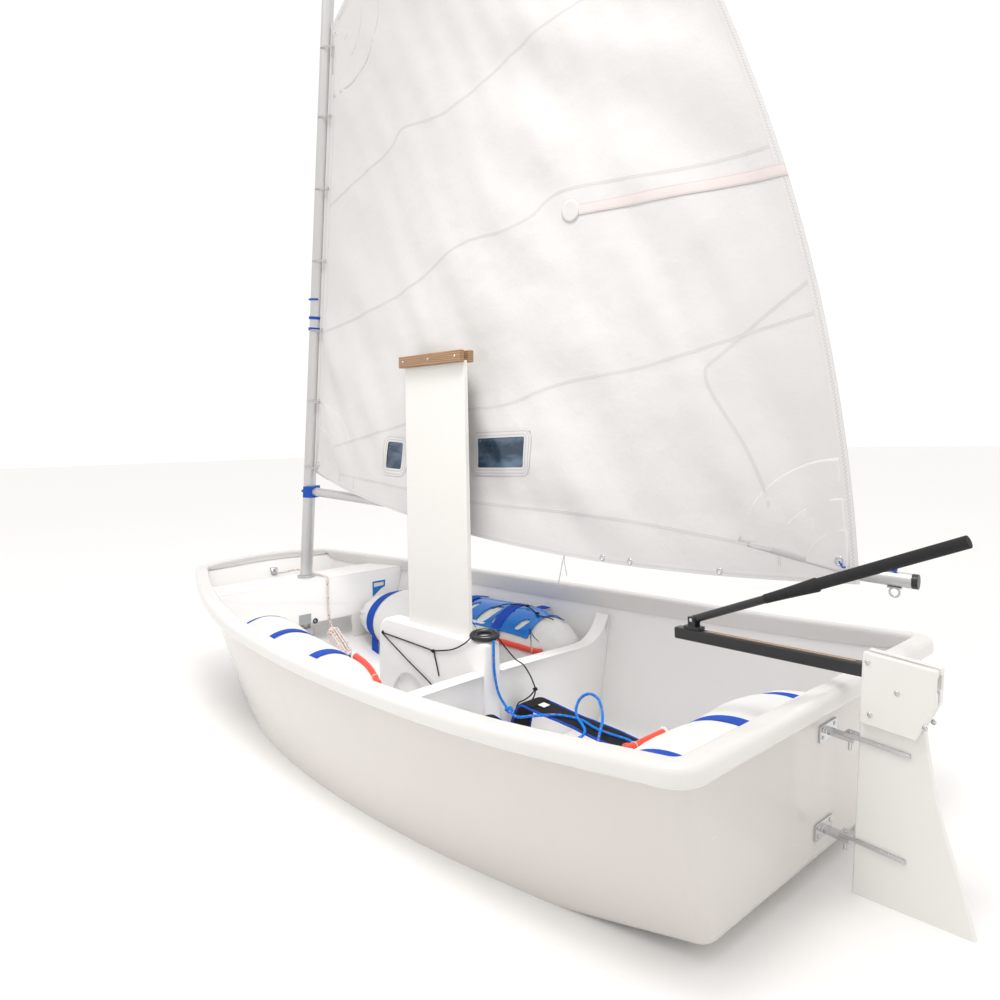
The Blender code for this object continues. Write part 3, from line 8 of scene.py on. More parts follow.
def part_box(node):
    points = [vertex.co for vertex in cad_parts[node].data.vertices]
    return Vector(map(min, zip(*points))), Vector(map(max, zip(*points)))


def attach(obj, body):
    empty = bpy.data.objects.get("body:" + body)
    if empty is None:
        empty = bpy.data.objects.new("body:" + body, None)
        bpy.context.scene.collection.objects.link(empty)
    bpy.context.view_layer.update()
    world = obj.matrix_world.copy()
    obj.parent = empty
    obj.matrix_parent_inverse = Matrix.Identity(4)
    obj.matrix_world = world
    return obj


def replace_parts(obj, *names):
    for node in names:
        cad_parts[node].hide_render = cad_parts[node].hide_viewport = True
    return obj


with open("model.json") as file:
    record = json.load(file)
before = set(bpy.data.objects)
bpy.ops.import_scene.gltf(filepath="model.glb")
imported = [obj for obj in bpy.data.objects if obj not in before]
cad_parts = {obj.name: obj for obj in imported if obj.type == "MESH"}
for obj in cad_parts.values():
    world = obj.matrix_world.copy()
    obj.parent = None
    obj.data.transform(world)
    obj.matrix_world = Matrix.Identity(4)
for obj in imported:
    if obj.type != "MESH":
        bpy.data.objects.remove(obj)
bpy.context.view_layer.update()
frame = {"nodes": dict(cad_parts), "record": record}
cadNodes = frame["nodes"]
print("frame loaded:", len(cadNodes), "solids")


# Camera at the photograph's place, lamps and the pale floor at the waterline
view = {"eye": (-1.87147, 1.52698, 0.88801), "yaw": -43.0829, "pitch": 2.6475, "roll": -1.2595,
        "lens": 28.76, "shiftY": -0.110}


def placeCamera():
    yaw, pitch, roll = (math.radians(view[k]) for k in ("yaw", "pitch", "roll"))
    ahead = Vector((math.cos(pitch) * math.cos(yaw), math.cos(pitch) * math.sin(yaw), math.sin(pitch)))
    level = ahead.cross(Vector((0, 0, 1))).normalized()
    lift = level.cross(ahead)
    right = level * math.cos(roll) + lift * math.sin(roll)
    up = lift * math.cos(roll) - level * math.sin(roll)
    lens = bpy.data.cameras.new("photoCamera")
    lens.lens, lens.sensor_width, lens.shift_y = view["lens"], 36, view["shiftY"]
    lens.clip_end = 200
    camera = bpy.data.objects.new("photoCamera", lens)
    bpy.context.scene.collection.objects.link(camera)
    camera.matrix_world = Matrix.Translation(view["eye"]) @ Matrix((right, up, -ahead)).transposed().to_4x4()
    bpy.context.scene.camera = camera


lampSet = {  # place, aim, size, power, spread in degrees
    "keyLamp": ((0.5, 2.4, 5.0), (0, 0, 0.6), 2.2, 25, 180),
    "topLamp": ((-1.4, 0.4, 5.2), (0, 0, 0.6), 3.2, 37, 180),
    "cockpitLamp": ((-0.9, 1.0, 3.4), (-0.1, -0.15, 0.1), 1.0, 5.5, 52),
}
lightLook = {"lamps": (1.0, 0.985, 0.965), "sky": (1.0, 0.985, 0.97), "skyStrength": 1.04}


def placeLamps():
    for name, (place, aim, size, power, spread) in lampSet.items():
        lamp = bpy.data.lights.new(name, "AREA")
        lamp.size, lamp.energy, lamp.color = size, power, lightLook["lamps"]
        lamp.spread = math.radians(spread)
        made = bpy.data.objects.new(name, lamp)
        bpy.context.scene.collection.objects.link(made)
        made.location = place
        made.rotation_euler = (Vector(aim) - Vector(place)).to_track_quat("-Z", "Y").to_euler()
    world = bpy.data.worlds.new("studioSky")
    world.use_nodes = True
    shade = world.node_tree.nodes["Background"].inputs
    shade["Color"].default_value = (*lightLook["sky"], 1)
    shade["Strength"].default_value = lightLook["skyStrength"]
    bpy.context.scene.world = world
    bpy.context.scene.view_settings.view_transform = "Standard"


placeCamera()
placeLamps()
print("camera and lamps placed")


# Shader sums written as Python
class Wire:
    def __init__(self, finish, socket):
        self.finish, self.socket = finish, socket

    def __add__(self, other):
        return self.finish.sum("ADD", self, other)

    __radd__ = __add__

    def __sub__(self, other):
        return self.finish.sum("SUBTRACT", self, other)

    def __rsub__(self, other):
        return self.finish.sum("SUBTRACT", other, self)

    def __mul__(self, other):
        return self.finish.sum("MULTIPLY", self, other)

    __rmul__ = __mul__

    def __truediv__(self, other):
        return self.finish.sum("DIVIDE", self, other)

    def __mod__(self, other):
        return self.finish.sum("MODULO", self, other)

    def sine(self):
        return self.finish.sum("SINE", self)

    def size(self):
        return self.finish.sum("ABSOLUTE", self)

    def within(self, low, high):  # 0 at low, 1 at high, held between
        return self.finish.node("ShaderNodeMapRange", {"interpolation_type": "SMOOTHSTEP"},
                                {"Value": self, "From Min": low, "From Max": high})


class Finish:
    def __init__(self, name):
        self.material = bpy.data.materials.new(name)
        self.material.use_nodes = True
        self.tree = self.material.node_tree
        self.tree.nodes.clear()

    def node(self, kind, settings=None, sockets=None, out=0):
        made = self.tree.nodes.new(kind)
        for key, value in (settings or {}).items():
            if key == "stops":
                ramp = made.color_ramp.elements
                while len(ramp) < len(value):
                    ramp.new(1.0)
                for stop, (place, colour) in zip(ramp, value):
                    stop.position, stop.color = place, (*colour, 1)
            else:
                setattr(made, key, value)
        for key, value in (sockets or {}).items():
            if isinstance(value, Wire):
                self.tree.links.new(value.socket, made.inputs[key])
            elif value is not None:
                made.inputs[key].default_value = value
        return Wire(self, made.outputs[out]) if len(made.outputs) else made

    def sum(self, kind, *values):
        return self.node("ShaderNodeMath", {"operation": kind}, dict(enumerate(values)))

    def mix(self, share, first, second, kind="MIX"):
        paint = [(*c, 1) if isinstance(c, tuple) and len(c) == 3 else c for c in (first, second)]
        return self.node("ShaderNodeMix", {"data_type": "RGBA", "blend_type": kind},
                         {0: share, 6: paint[0], 7: paint[1]}, out=2)

    def place(self, stretch=(1, 1, 1), kind="Object", turn=(0, 0, 0)):
        raw = self.node("ShaderNodeTexCoord", out=kind)
        return self.node("ShaderNodeMapping", {}, {"Vector": raw, "Scale": stretch, "Rotation": turn})

    def axes(self, vector):
        parts = self.node("ShaderNodeSeparateXYZ", {}, {"Vector": vector})
        owner = parts.socket.node
        return [Wire(self, owner.outputs[k]) for k in range(3)]

    def cloud(self, vector, scale, detail=3.0, rough=0.5):
        return self.node("ShaderNodeTexNoise", {}, {"Vector": vector, "Scale": scale, "Detail": detail,
                                                   "Roughness": rough})

    def bump(self, height, distance, strength=1.0, under=None):
        return self.node("ShaderNodeBump", {}, {"Height": height, "Distance": distance,
                                                "Strength": strength, "Normal": under})

    def skin(self, colour, roughness, normal=None, **fixed):
        paint = (*colour, 1) if isinstance(colour, tuple) and len(colour) == 3 else colour
        sockets = {"Base Color": paint, "Roughness": roughness, "Normal": normal}
        sockets.update({k.replace("_", " "): v for k, v in fixed.items()})
        shader = self.node("ShaderNodeBsdfPrincipled", {}, sockets)
        self.node("ShaderNodeOutputMaterial", {}, {"Surface": shader})
        return self.material


# One gelcoat in two copies set against the lamps: the outside painted darker (painted shade), the inside, thwart,
# frames and case painted brighter (painted light).
gelcoatShadeAndLightLook = {"white": (0.625, 0.59, 0.565), "tint": (0.665, 0.635, 0.61), "gloss": 0.16,
               "insideWhite": (0.90, 0.89, 0.875), "insideTint": (0.92, 0.915, 0.905), "insideGloss": 0.26}


def makeGelcoat(name, white, tint, gloss):
    f = Finish(name)
    place = f.place()
    broad = f.cloud(place, 2.2, 4)
    fine = f.cloud(place, 55, 2)
    rub = f.cloud(f.place((3, 3, 40)), 9, 4, 0.6)
    colour = f.mix(broad, white, tint)
    rough = gloss + 0.10 * rub.within(0.45, 0.8) + 0.05 * broad
    return f.skin(colour, rough, f.bump(fine + broad * 3, 0.0006, 0.35), Coat_Weight=0.25, Coat_Roughness=0.08)


def makeMetal(name, colour, roughness, along=(1, 1, 1), metallic=1.0):
    f = Finish(name)
    streaks = f.cloud(f.place(along), 60, 4, 0.6)
    patches = f.cloud(f.place(), 6, 3)
    rough = roughness + 0.12 * (streaks - 0.5) + 0.06 * patches
    dark = tuple(c * 0.86 for c in colour)
    return f.skin(f.mix(streaks * 0.6 + patches * 0.4, dark, colour), rough,
                  f.bump(streaks, 0.0002, 0.25), Metallic=metallic)


def makePlastic(name, colour, roughness, grain=400, depth=0.0001, mottle=0.10):
    f = Finish(name)
    pits = f.cloud(f.place(), grain, 2)
    patches = f.cloud(f.place(), 14, 3)
    dark = tuple(c * (1 - 2 * mottle) for c in colour)
    return f.skin(f.mix(patches, dark, colour), roughness + 0.15 * (patches - 0.5),
                  f.bump(pits, depth, 0.6))


def makeWeave(name, colour, roughness, pitch=0.0012, depth=0.0002, mottle=0.12, sheen=0.0):
    f = Finish(name)
    x, y, z = f.axes(f.place())
    turn = 2 * math.pi / pitch
    ribs = ((x + z * 0.7) * turn).sine() * ((y + z * 0.7) * turn).sine()
    worn = f.cloud(f.place(), 30, 4)
    dark = tuple(c * (1 - 2 * mottle) for c in colour)
    pale = tuple(min(c * (1 + mottle) + 0.01, 1) for c in colour)
    return f.skin(f.mix(worn * 0.6 + ribs * 0.2 + 0.2, dark, pale), roughness + 0.1 * (worn - 0.5),
                  f.bump(ribs + worn, depth, 0.7), Sheen_Weight=sheen, Specular_IOR_Level=0.2)


def makeRope(name, colour, fleck, share, roughness=0.65, strands=8):
    # braid along the rope's own length: U in metres, V round it from 0 to 1
    f = Finish(name)
    along, around, _ = f.axes(f.node("ShaderNodeTexCoord", out="UV"))
    left = ((along * 260 + around * strands) * math.pi).sine().size()
    right = ((along * 260 - around * strands) * math.pi).sine().size()
    braid = left * right
    picks = f.cloud(f.node("ShaderNodeCombineXYZ", {}, {0: along * 95, 1: around * 3}), 1.5, 1, 0.3)
    marked = picks.within(0.78 - share, 0.82 - share)
    # Grooves between the strands are painted darker: painted shade in the braid.
    deep = tuple(c * 0.68 for c in colour)
    body = f.mix(braid.within(0.0, 0.6), deep, colour)
    return f.skin(f.mix(marked, body, fleck), roughness, f.bump(braid, 0.0006, 0.8), Specular_IOR_Level=0.25)


def makeWood(name, pale, dark):
    f = Finish(name)
    grain = f.cloud(f.place((2.0, 30, 30)), 9, 6, 0.6)
    rings = f.node("ShaderNodeTexWave", {"bands_direction": "Z"},
                   {"Vector": f.place((0.6, 6, 6)), "Scale": 9, "Distortion": 5, "Detail": 3})
    tone = grain * 0.65 + rings * 0.35
    return f.skin(f.mix(tone.within(0.25, 0.8), dark, pale), 0.42 + 0.2 * grain,
                  f.bump(grain, 0.0004, 0.5), Coat_Weight=0.2)


sailLook = {"cloth": (0.675, 0.665, 0.66), "shade": (0.615, 0.605, 0.60), "weave": 0.0024}


def makeSailcloth(name):
    f = Finish(name)
    along, across, _ = f.axes(f.node("ShaderNodeTexCoord", out="UV"))
    turn = 2 * math.pi / sailLook["weave"]
    weave = (along * turn).sine() * (across * turn).sine()
    creases = f.cloud(f.place((1, 1, 1)), 16, 5, 0.62)
    fine = f.cloud(f.place((1.4, 1.4, 0.7)), 60, 4, 0.6)
    cloudy = f.cloud(f.place(), 2.2, 4)
    colour = f.mix(cloudy * 0.7 + fine * 0.3, sailLook["shade"], sailLook["cloth"])
    height = creases * 0.0032 + fine * 0.0007 + weave * 0.00006
    return f.skin(colour, 0.46 + 0.12 * fine, f.bump(height, 1.0, 0.55), Sheen_Weight=0.1)


def makeStitched(name, pale, thread, rows=(0.30, 0.70), pitch=0.0065, swing=0.14):
    # sewn strip: U in metres along it, V across it, zigzag thread in one or two rows
    f = Finish(name)
    along, across, _ = f.axes(f.node("ShaderNodeTexCoord", out="UV"))
    wave = ((along / pitch) % 1.0 * 2 - 1).size() * swing - swing / 2
    sewn = None
    for row in rows:
        near = 1 - (across - row - wave).size().within(0.035, 0.075)
        sewn = near if sewn is None else sewn + near
    cloudy = f.cloud(f.place(), 40, 3)
    shade = tuple(c * 0.93 for c in pale)
    edge = 1 - (0.5 - (across - 0.5).size()).within(0.0, 0.05)
    colour = f.mix(sewn * 0.75 + edge * 0.25, f.mix(cloudy, shade, pale), thread)
    return f.skin(colour, 0.5 + 0.1 * cloudy, f.bump(cloudy * 0.4 + sewn * 0.6, 0.0004, 0.6))


# Window film painted dark with a paler rippled tone: painted shade of what shows through the clear film, and
# painted reflection on it.
def makeFilm(name, deep, pale):
    f = Finish(name)
    ripple = f.cloud(f.place((1, 1, 2.5)), 9, 3)
    return f.skin(f.mix(ripple.within(0.40, 0.72), deep, pale), 0.06 + 0.12 * ripple, f.bump(ripple, 0.004, 0.5),
                  Coat_Weight=0.6)


finishes = {
    "seam": makeStitched("seam", (0.665, 0.655, 0.645), (0.36, 0.37, 0.39)),
    "hem": makeStitched("hem", (0.685, 0.675, 0.665), (0.44, 0.44, 0.46), (0.5,), 0.009, 0.30),
    "pocket": makeStitched("pocket", (0.71, 0.64, 0.625), (0.55, 0.50, 0.50), (0.10, 0.90), 0.006, 0.06),
    "filmPaintedShadeAndReflection": makeFilm("filmPaintedShadeAndReflection", (0.010, 0.030, 0.060), (0.10, 0.16, 0.24)),
    "tieCord": makeRope("tieCord", (0.74, 0.73, 0.72), (0.60, 0.60, 0.62), 0.1),
    # Outer hull face: the darker copy, painted shade; the inside copy below is painted light.
    "gelcoat": makeGelcoat("gelcoat", gelcoatShadeAndLightLook["white"], gelcoatShadeAndLightLook["tint"], gelcoatShadeAndLightLook["gloss"]),
    "insideGelcoatPaintedLight": makeGelcoat("insideGelcoatPaintedLight", gelcoatShadeAndLightLook["insideWhite"], gelcoatShadeAndLightLook["insideTint"],
                                 gelcoatShadeAndLightLook["insideGloss"]),
    # Gunwale roll: its own gelcoat copy, painted darker against the lamps on its top: painted shade.
    "rimGelcoatPaintedShade": makeGelcoat("rimGelcoatPaintedShade", (0.71, 0.695, 0.68), (0.74, 0.725, 0.71), 0.14),
    "aluminium": makeMetal("aluminium", (0.66, 0.655, 0.65), 0.36, (1, 1, 0.05), 0.9),
    "steel": makeMetal("steel", (0.66, 0.66, 0.67), 0.22),
    "blackPlastic": makePlastic("blackPlastic", (0.022, 0.022, 0.024), 0.34),
    "greyPlastic": makePlastic("greyPlastic", (0.50, 0.51, 0.52), 0.45),
    "bluePlastic": makePlastic("bluePlastic", (0.000, 0.17, 0.62), 0.13, 90, 0.0002, 0.04),
    "redTube": makePlastic("redTube", (0.84, 0.07, 0.035), 0.36, 60, 0.0001),
    "foam": makePlastic("foam", (0.016, 0.016, 0.017), 0.85, 700, 0.0005),
    "foil": makeGelcoat("foil", (0.76, 0.75, 0.72), (0.79, 0.785, 0.76), 0.30),
    "wood": makeWood("wood", (0.42, 0.25, 0.13), (0.24, 0.13, 0.065)),
    "sailcloth": makeSailcloth("sailcloth"),
    "bagFabric": makeWeave("bagFabric", (0.78, 0.775, 0.765), 0.42, 0.0016, 0.00012, 0.03, 0.1),
    "blueWebbing": makeWeave("blueWebbing", (0.010, 0.075, 0.50), 0.75),
    "blackWebbing": makeWeave("blackWebbing", (0.008, 0.008, 0.010), 0.80),
    "sheetRope": makeRope("sheetRope", (0.000, 0.24, 0.80), (0.80, 0.09, 0.34), 0.13, 0.7),
    "painterRope": makeRope("painterRope", (0.95, 0.92, 0.89), (0.80, 0.13, 0.03), 0.17),
    "blueRope": makeRope("blueRope", (0.02, 0.12, 0.62), (0.02, 0.10, 0.50), 0.1),
    "glossBlack": makePlastic("glossBlack", (0.018, 0.018, 0.020), 0.14, 120, 0.00008),
    "tan": makePlastic("tan", (0.40, 0.27, 0.16), 0.5, 200, 0.0001),
    "valveGreen": makePlastic("valveGreen", (0.02, 0.42, 0.10), 0.35, 100, 0.00005),
    "label": makePlastic("label", (0.84, 0.83, 0.81), 0.6, 200, 0.00005),
    "shockCord": makeRope("shockCord", (0.018, 0.018, 0.02), (0.12, 0.12, 0.13), 0.08),
}
# CAD gelcoat parts take the brighter inside copy: painted light.
cadFinish = {"gelcoat": "insideGelcoatPaintedLight", "aluminium": "aluminium", "steel": "steel",
             "black_plastic": "blackPlastic", "grey_plastic": "greyPlastic", "blue_plastic": "bluePlastic",
             "red_tube": "redTube",
             "black_rubber": "foam", "foil": "foil", "wood": "wood", "sailcloth": "sailcloth",
             "bag_fabric": "bagFabric", "blue_webbing": "blueWebbing", "black_webbing": "blackWebbing",
             "sheet_rope": "sheetRope", "painter_rope": "painterRope", "blue_rope": "blueRope"}
for row in frame["record"]["subparts"]:
    solid = cadNodes[row["node"]]
    solid.data.materials.clear()
    lashed = row["node"] == "boom_jaws"  # the jaws are bound with blue cord
    solid.data.materials.append(finishes["blueRope" if lashed else cadFinish[row["material_slot"]]])
print("finishes made:", len(finishes))


# Small making tools
def addPiece(name, mesh, finish, body, smooth=True):
    made = bpy.data.objects.new(name, mesh)
    bpy.context.scene.collection.objects.link(made)
    mesh.materials.clear()
    mesh.materials.append(finishes[finish])
    if smooth:
        mesh.shade_smooth()
    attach(made, body)
    return made


def meshOf(name, points, faces):
    mesh = bpy.data.meshes.new(name)
    mesh.from_pydata([tuple(p) for p in points], [], faces)
    mesh.update()
    return mesh


def layMap(mesh, uvs):
    layer = mesh.uv_layers.new(name="UVMap")
    layer.data.foreach_set("uv", np.array(uvs, np.float32).ravel())


def faceOut(mesh, upward=False):  # every face outward, or upward on an open floor
    bm = bmesh.new()
    bm.from_mesh(mesh)
    bmesh.ops.recalc_face_normals(bm, faces=bm.faces)
    if upward and sum(face.normal.z for face in bm.faces) < 0:
        bmesh.ops.reverse_faces(bm, faces=bm.faces)
    bm.to_mesh(mesh)
    bm.free()


def band(name, rails, finish, body, thick=0.0018, crown=0.0, across=6):
    # strap between two rails: each row is its left edge, right edge and upward direction
    points, faces, uvs = [], [], []
    run = 0.0
    runs = []
    for i, (left, right, up) in enumerate(rails):
        left, right, up = Vector(left), Vector(right), Vector(up)
        if i:
            run += ((left + right) / 2 - before).length
        before = (left + right) / 2
        runs.append(run)
        for top in (1, 0):
            for k in range(across + 1):
                f = k / across
                edge = 0.55 if k in (0, across) else 1.0
                lift = thick * (0.5 + (0.5 * edge if top else -0.5 * edge)) + crown * 4 * f * (1 - f)
                points.append(left.lerp(right, f) + up * lift)
    row = 2 * (across + 1)
    loop = list(range(across + 1)) + list(range(row - 1, across, -1))
    places = [k / across for k in range(across + 1)] + [k / across for k in range(across, -1, -1)]
    for i in range(len(rails) - 1):
        for k in range(row):
            m = (k + 1) % row
            faces.append((i * row + loop[k], i * row + loop[m], (i + 1) * row + loop[m], (i + 1) * row + loop[k]))
            uvs += [(runs[i], places[k]), (runs[i], places[m]), (runs[i + 1], places[m]), (runs[i + 1], places[k])]
    for end in (0, len(rails) - 1):
        faces.append([end * row + k for k in loop])
        uvs += [(runs[end], places[k]) for k in range(row)]
    mesh = meshOf(name, points, faces)
    layMap(mesh, uvs)
    faceOut(mesh)
    made = addPiece(name, mesh, finish, body)
    mesh.set_sharp_from_angle(angle=math.radians(60))
    return made


def softenSolid(node, width=0.0015, segments=2, angle=32):  # rounded edges and even shading on a CAD solid
    solid = cadNodes[node]
    weld = solid.modifiers.new("weld", "WELD")
    weld.merge_threshold = 0.00002
    if width:
        edge = solid.modifiers.new("edge", "BEVEL")
        edge.width, edge.segments, edge.limit_method = width, segments, "ANGLE"
        edge.angle_limit = math.radians(angle)
        edge.use_clamp_overlap = True
    even = solid.modifiers.new("even", "WEIGHTED_NORMAL")
    even.weight = 90
    for polygon in solid.data.polygons:
        polygon.use_smooth = True


def smoothPath(points, step):
    # one smooth curve through the points, cut into even steps
    raw = [np.array(p, float) for p in points]
    ends = [2 * raw[0] - raw[1]] + raw + [2 * raw[-1] - raw[-2]]
    dense = []
    for i in range(1, len(ends) - 2):
        a, b, c, d = ends[i - 1:i + 3]
        for k in range(12):
            t = k / 12
            dense.append(0.5 * (2 * b + (c - a) * t + (2 * a - 5 * b + 4 * c - d) * t * t
                                + (3 * b - a - 3 * c + d) * t ** 3))
    dense.append(raw[-1])
    dense = np.array(dense)
    run = np.concatenate([[0], np.cumsum(np.linalg.norm(np.diff(dense, axis=0), axis=1))])
    count = max(int(round(run[-1] / step)), 2)
    at = np.linspace(0, run[-1], count + 1)
    return np.stack([np.interp(at, run, dense[:, k]) for k in range(3)], 1), run[-1]


def ropeMesh(name, path, radius, sides=10, tips=True):
    # round tube along a path, with U in metres along it and V round it
    path = np.asarray(path, float)
    ahead = np.gradient(path, axis=0)
    ahead /= np.linalg.norm(ahead, axis=1)[:, None]
    side = np.cross(ahead[0], (0.12, 0.31, 0.94))
    side /= np.linalg.norm(side)
    radii = np.full(len(path), radius) if np.isscalar(radius) else np.asarray(radius, float)
    run = np.concatenate([[0], np.cumsum(np.linalg.norm(np.diff(path, axis=0), axis=1))])
    points, faces, uvs = [], [], []
    for i, (p, d, r) in enumerate(zip(path, ahead, radii)):
        side = side - d * side.dot(d)
        side /= np.linalg.norm(side)
        other = np.cross(d, side)
        for k in range(sides):
            a = 2 * math.pi * k / sides
            points.append(p + r * (math.cos(a) * side + math.sin(a) * other))
    last = len(path) - 1
    for i in range(last):
        for k in range(sides):
            j = (k + 1) % sides
            faces.append((i * sides + k, i * sides + j, (i + 1) * sides + j, (i + 1) * sides + k))
            uvs += [(run[i], k / sides), (run[i], (k + 1) / sides),
                    (run[i + 1], (k + 1) / sides), (run[i + 1], k / sides)]
    for end, flip in ((0, True), (last, False)):
        points.append(path[end] + ahead[end] * (radii[end] * (0.5 if tips else 0.0)) * (-1 if flip else 1))
        tip = len(points) - 1
        for k in range(sides):
            j = (k + 1) % sides
            a, b = end * sides + k, end * sides + j
            faces.append((tip, b, a) if flip else (tip, a, b))
            uvs += [(run[end], 0.5), (run[end], 0.4), (run[end], 0.6)]
    mesh = meshOf(name, points, faces)
    layMap(mesh, uvs)
    return mesh


def ropePiece(name, points, radius, finish, body, step=None, sides=10):
    path, length = smoothPath(points, step or radius * 0.8)
    return addPiece(name, ropeMesh(name, path, radius, sides), finish, body), path, length


# Hull form, the same table and lengths as the solids
hullForm = {"length": 2.30, "rake": 0.030, "bowRake": 0.130, "skin": 0.006, "corner": 0.030,
            "chine": 0.022, "bulge": 0.006, "camber": 0.017, "stations": 61}
hullTable = ((0.000, 0.495, 0.367, 0.387, 0.035), (0.174, 0.535, 0.343, 0.432, -0.018),
             (0.348, 0.550, 0.336, 0.459, -0.052), (0.522, 0.534, 0.335, 0.454, -0.054),
             (0.696, 0.483, 0.341, 0.410, -0.012), (0.870, 0.378, 0.358, 0.322, 0.084),
             (1.000, 0.270, 0.376, 0.251, 0.166))
sternX, bowX = -hullForm["length"] / 2, hullForm["length"] / 2


def hullCurve(column, place):
    places = [row[0] for row in hullTable]
    values = [row[column] for row in hullTable]
    slopes = np.gradient(values, places)
    i = int(np.clip(np.searchsorted(places, place) - 1, 0, len(places) - 2))
    span = places[i + 1] - places[i]
    t = (place - places[i]) / span
    return float((2 * t ** 3 - 3 * t ** 2 + 1) * values[i] + (t ** 3 - 2 * t ** 2 + t) * span * slopes[i]
                 + (3 * t ** 2 - 2 * t ** 3) * values[i + 1] + (t ** 3 - t ** 2) * span * slopes[i + 1])


hullPlaces = np.linspace(0, 1, 1201)
hullCurves = {column: np.array([hullCurve(column, p) for p in hullPlaces]) for column in (1, 2, 3, 4)}


def hullValue(column, place):
    return float(np.interp(place, hullPlaces, hullCurves[column]))


def sheerPoint(place):
    return Vector((sternX + hullForm["length"] * place, hullValue(1, place), hullValue(2, place)))


def chinePoint(place):
    length = hullForm["length"] - hullForm["rake"] - hullForm["bowRake"]
    return Vector((sternX + hullForm["rake"] + length * place, hullValue(3, place), hullValue(4, place)))


def bottomHeight(x):
    length = hullForm["length"] - hullForm["rake"] - hullForm["bowRake"]
    return hullValue(4, (x - sternX - hullForm["rake"]) / length)


def halfOutline(pointAt, camber):
    inset = hullForm["corner"] / hullForm["length"]
    count = hullForm["stations"]
    sides = [inset + (1 - 2 * inset) * i / (count - 1) for i in range(count)]
    halves = []
    for end, first in ((0.0, sides[0]), (1.0, sides[-1])):
        corner = pointAt(end)
        middle = Vector((corner.x, 0.0, corner.z))
        start = corner + (middle - corner).normalized() * hullForm["corner"]
        side = pointAt(first)
        run = [middle.lerp(start, f / 8) for f in range(9)]
        for k in range(1, 9):
            f = k / 9
            run.append(start * (1 - f) ** 2 + corner * 2 * f * (1 - f) + side * f ** 2)
        if end == 1.0:
            for p in run:
                p.z += camber * (1 - (p.y / corner.y) ** 2)
        halves.append(run)
    return halves[0] + [pointAt(s) for s in sides] + halves[1][::-1]


def inward(ring):
    out, last = [], len(ring) - 1
    for i in range(len(ring)):
        run = (ring[min(i + 1, last)] - ring[max(i - 1, 0)]).normalized()
        out.append(Vector((1, 0, 0)) if i == 0 else Vector((-1, 0, 0)) if i == last
                   else Vector((run.y, -run.x, 0)).normalized())
    return out


def hullRows():
    sheer, chine = halfOutline(sheerPoint, hullForm["camber"]), halfOutline(chinePoint, 0.0)
    into, outward = inward(chine), inward(sheer)
    rows = []
    for k in range(9):
        t = k / 9
        bulge = hullForm["bulge"] * 4 * t * (1 - t)
        rows.append([s.lerp(c, t) - n * bulge * n.y ** 2 for s, c, n in zip(sheer, chine, outward)])
    for f in (0.0, 0.2, 0.4, 0.6, 0.8, 1.0):
        row = []
        for s, c, n in zip(sheer, chine, into):
            top = c + (s - c).normalized() * hullForm["chine"]
            low = c + n * hullForm["chine"]
            row.append(top * (1 - f) ** 2 + c * 2 * f * (1 - f) + low * f ** 2)
        rows.append(row)
    return rows


slotForm = {"middle": 0.052, "half": 0.1459, "wide": 0.0084}  # the daggerboard's slot in the bottom


def makeHull():
    rows = hullRows()
    bm = bmesh.new()
    grid = [[bm.verts.new((p.x, max(p.y, 0.0), p.z)) for p in row] for row in rows]
    for a, b in zip(grid, grid[1:]):
        for i in range(len(a) - 1):
            bm.faces.new((a[i], b[i], b[i + 1], a[i + 1]))
    foot, count = grid[-1], hullForm["stations"]
    first = 17
    last = first + count - 1
    for i in range(first, last):
        previous = (foot[i], foot[i + 1])
        for k in range(1, 9):
            f = k / 8
            nextPair = []
            for v, w in ((foot[i], i), (foot[i + 1], i + 1)):
                nextPair.append((v.co.x, v.co.y * (1 - f), v.co.z))
            made = [bm.verts.new(p) for p in nextPair]
            bm.faces.new((previous[0], made[0], made[1], previous[1]))
            previous = made
    bm.faces.new([bm.verts.new((foot[first].co.x, 0, foot[first].co.z))] + foot[first::-1])
    bm.faces.new(foot[last:] + [bm.verts.new((foot[last].co.x, 0, foot[last].co.z))])
    bmesh.ops.remove_doubles(bm, verts=bm.verts, dist=0.00005)
    bmesh.ops.mirror(bm, geom=bm.verts[:] + bm.edges[:] + bm.faces[:], axis="Y", merge_dist=0.00005)
    bmesh.ops.remove_doubles(bm, verts=bm.verts, dist=0.00005)
    bmesh.ops.recalc_face_normals(bm, faces=bm.faces)
    middle, high, wide = slotForm["middle"], slotForm["half"], slotForm["wide"]
    for spot, way in (((middle - high, 0, 0), (1, 0, 0)), ((middle + high, 0, 0), (1, 0, 0)),
                      ((0, -wide, 0), (0, 1, 0)), ((0, wide, 0), (0, 1, 0))):
        bmesh.ops.bisect_plane(bm, geom=bm.verts[:] + bm.edges[:] + bm.faces[:], plane_co=spot, plane_no=way)
    cut = [face for face in bm.faces if abs(face.calc_center_median().y) < wide
           and abs(face.calc_center_median().x - middle) < high and face.calc_center_median().z < 0.02]
    bmesh.ops.delete(bm, geom=cut, context="FACES")
    low = min(bm.faces, key=lambda face: face.calc_center_median().z)
    low.normal_update()
    if low.normal.z > 0:
        bmesh.ops.reverse_faces(bm, faces=bm.faces)
    mesh = bpy.data.meshes.new("hullMoulding")
    bm.to_mesh(mesh)
    bm.free()
    hull = addPiece("hullMoulding", mesh, "gelcoat", "root")
    wall = hull.modifiers.new("skin", "SOLIDIFY")
    wall.thickness, wall.offset, wall.use_even_offset = hullForm["skin"], -1.0, True
    # Inner face of the hull wall takes the brighter copy: painted light.
    mesh.materials.append(finishes["insideGelcoatPaintedLight"])
    wall.material_offset = 1
    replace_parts(hull, "hull_shell")
    return rows


rimForm = {"out": 0.028, "in": 0.018, "rise": 0.010, "drop": 0.027, "seat": 0.0013, "skirt": 0.045,
           "reach": 0.0205, "wall": 0.003, "lip": 0.010}


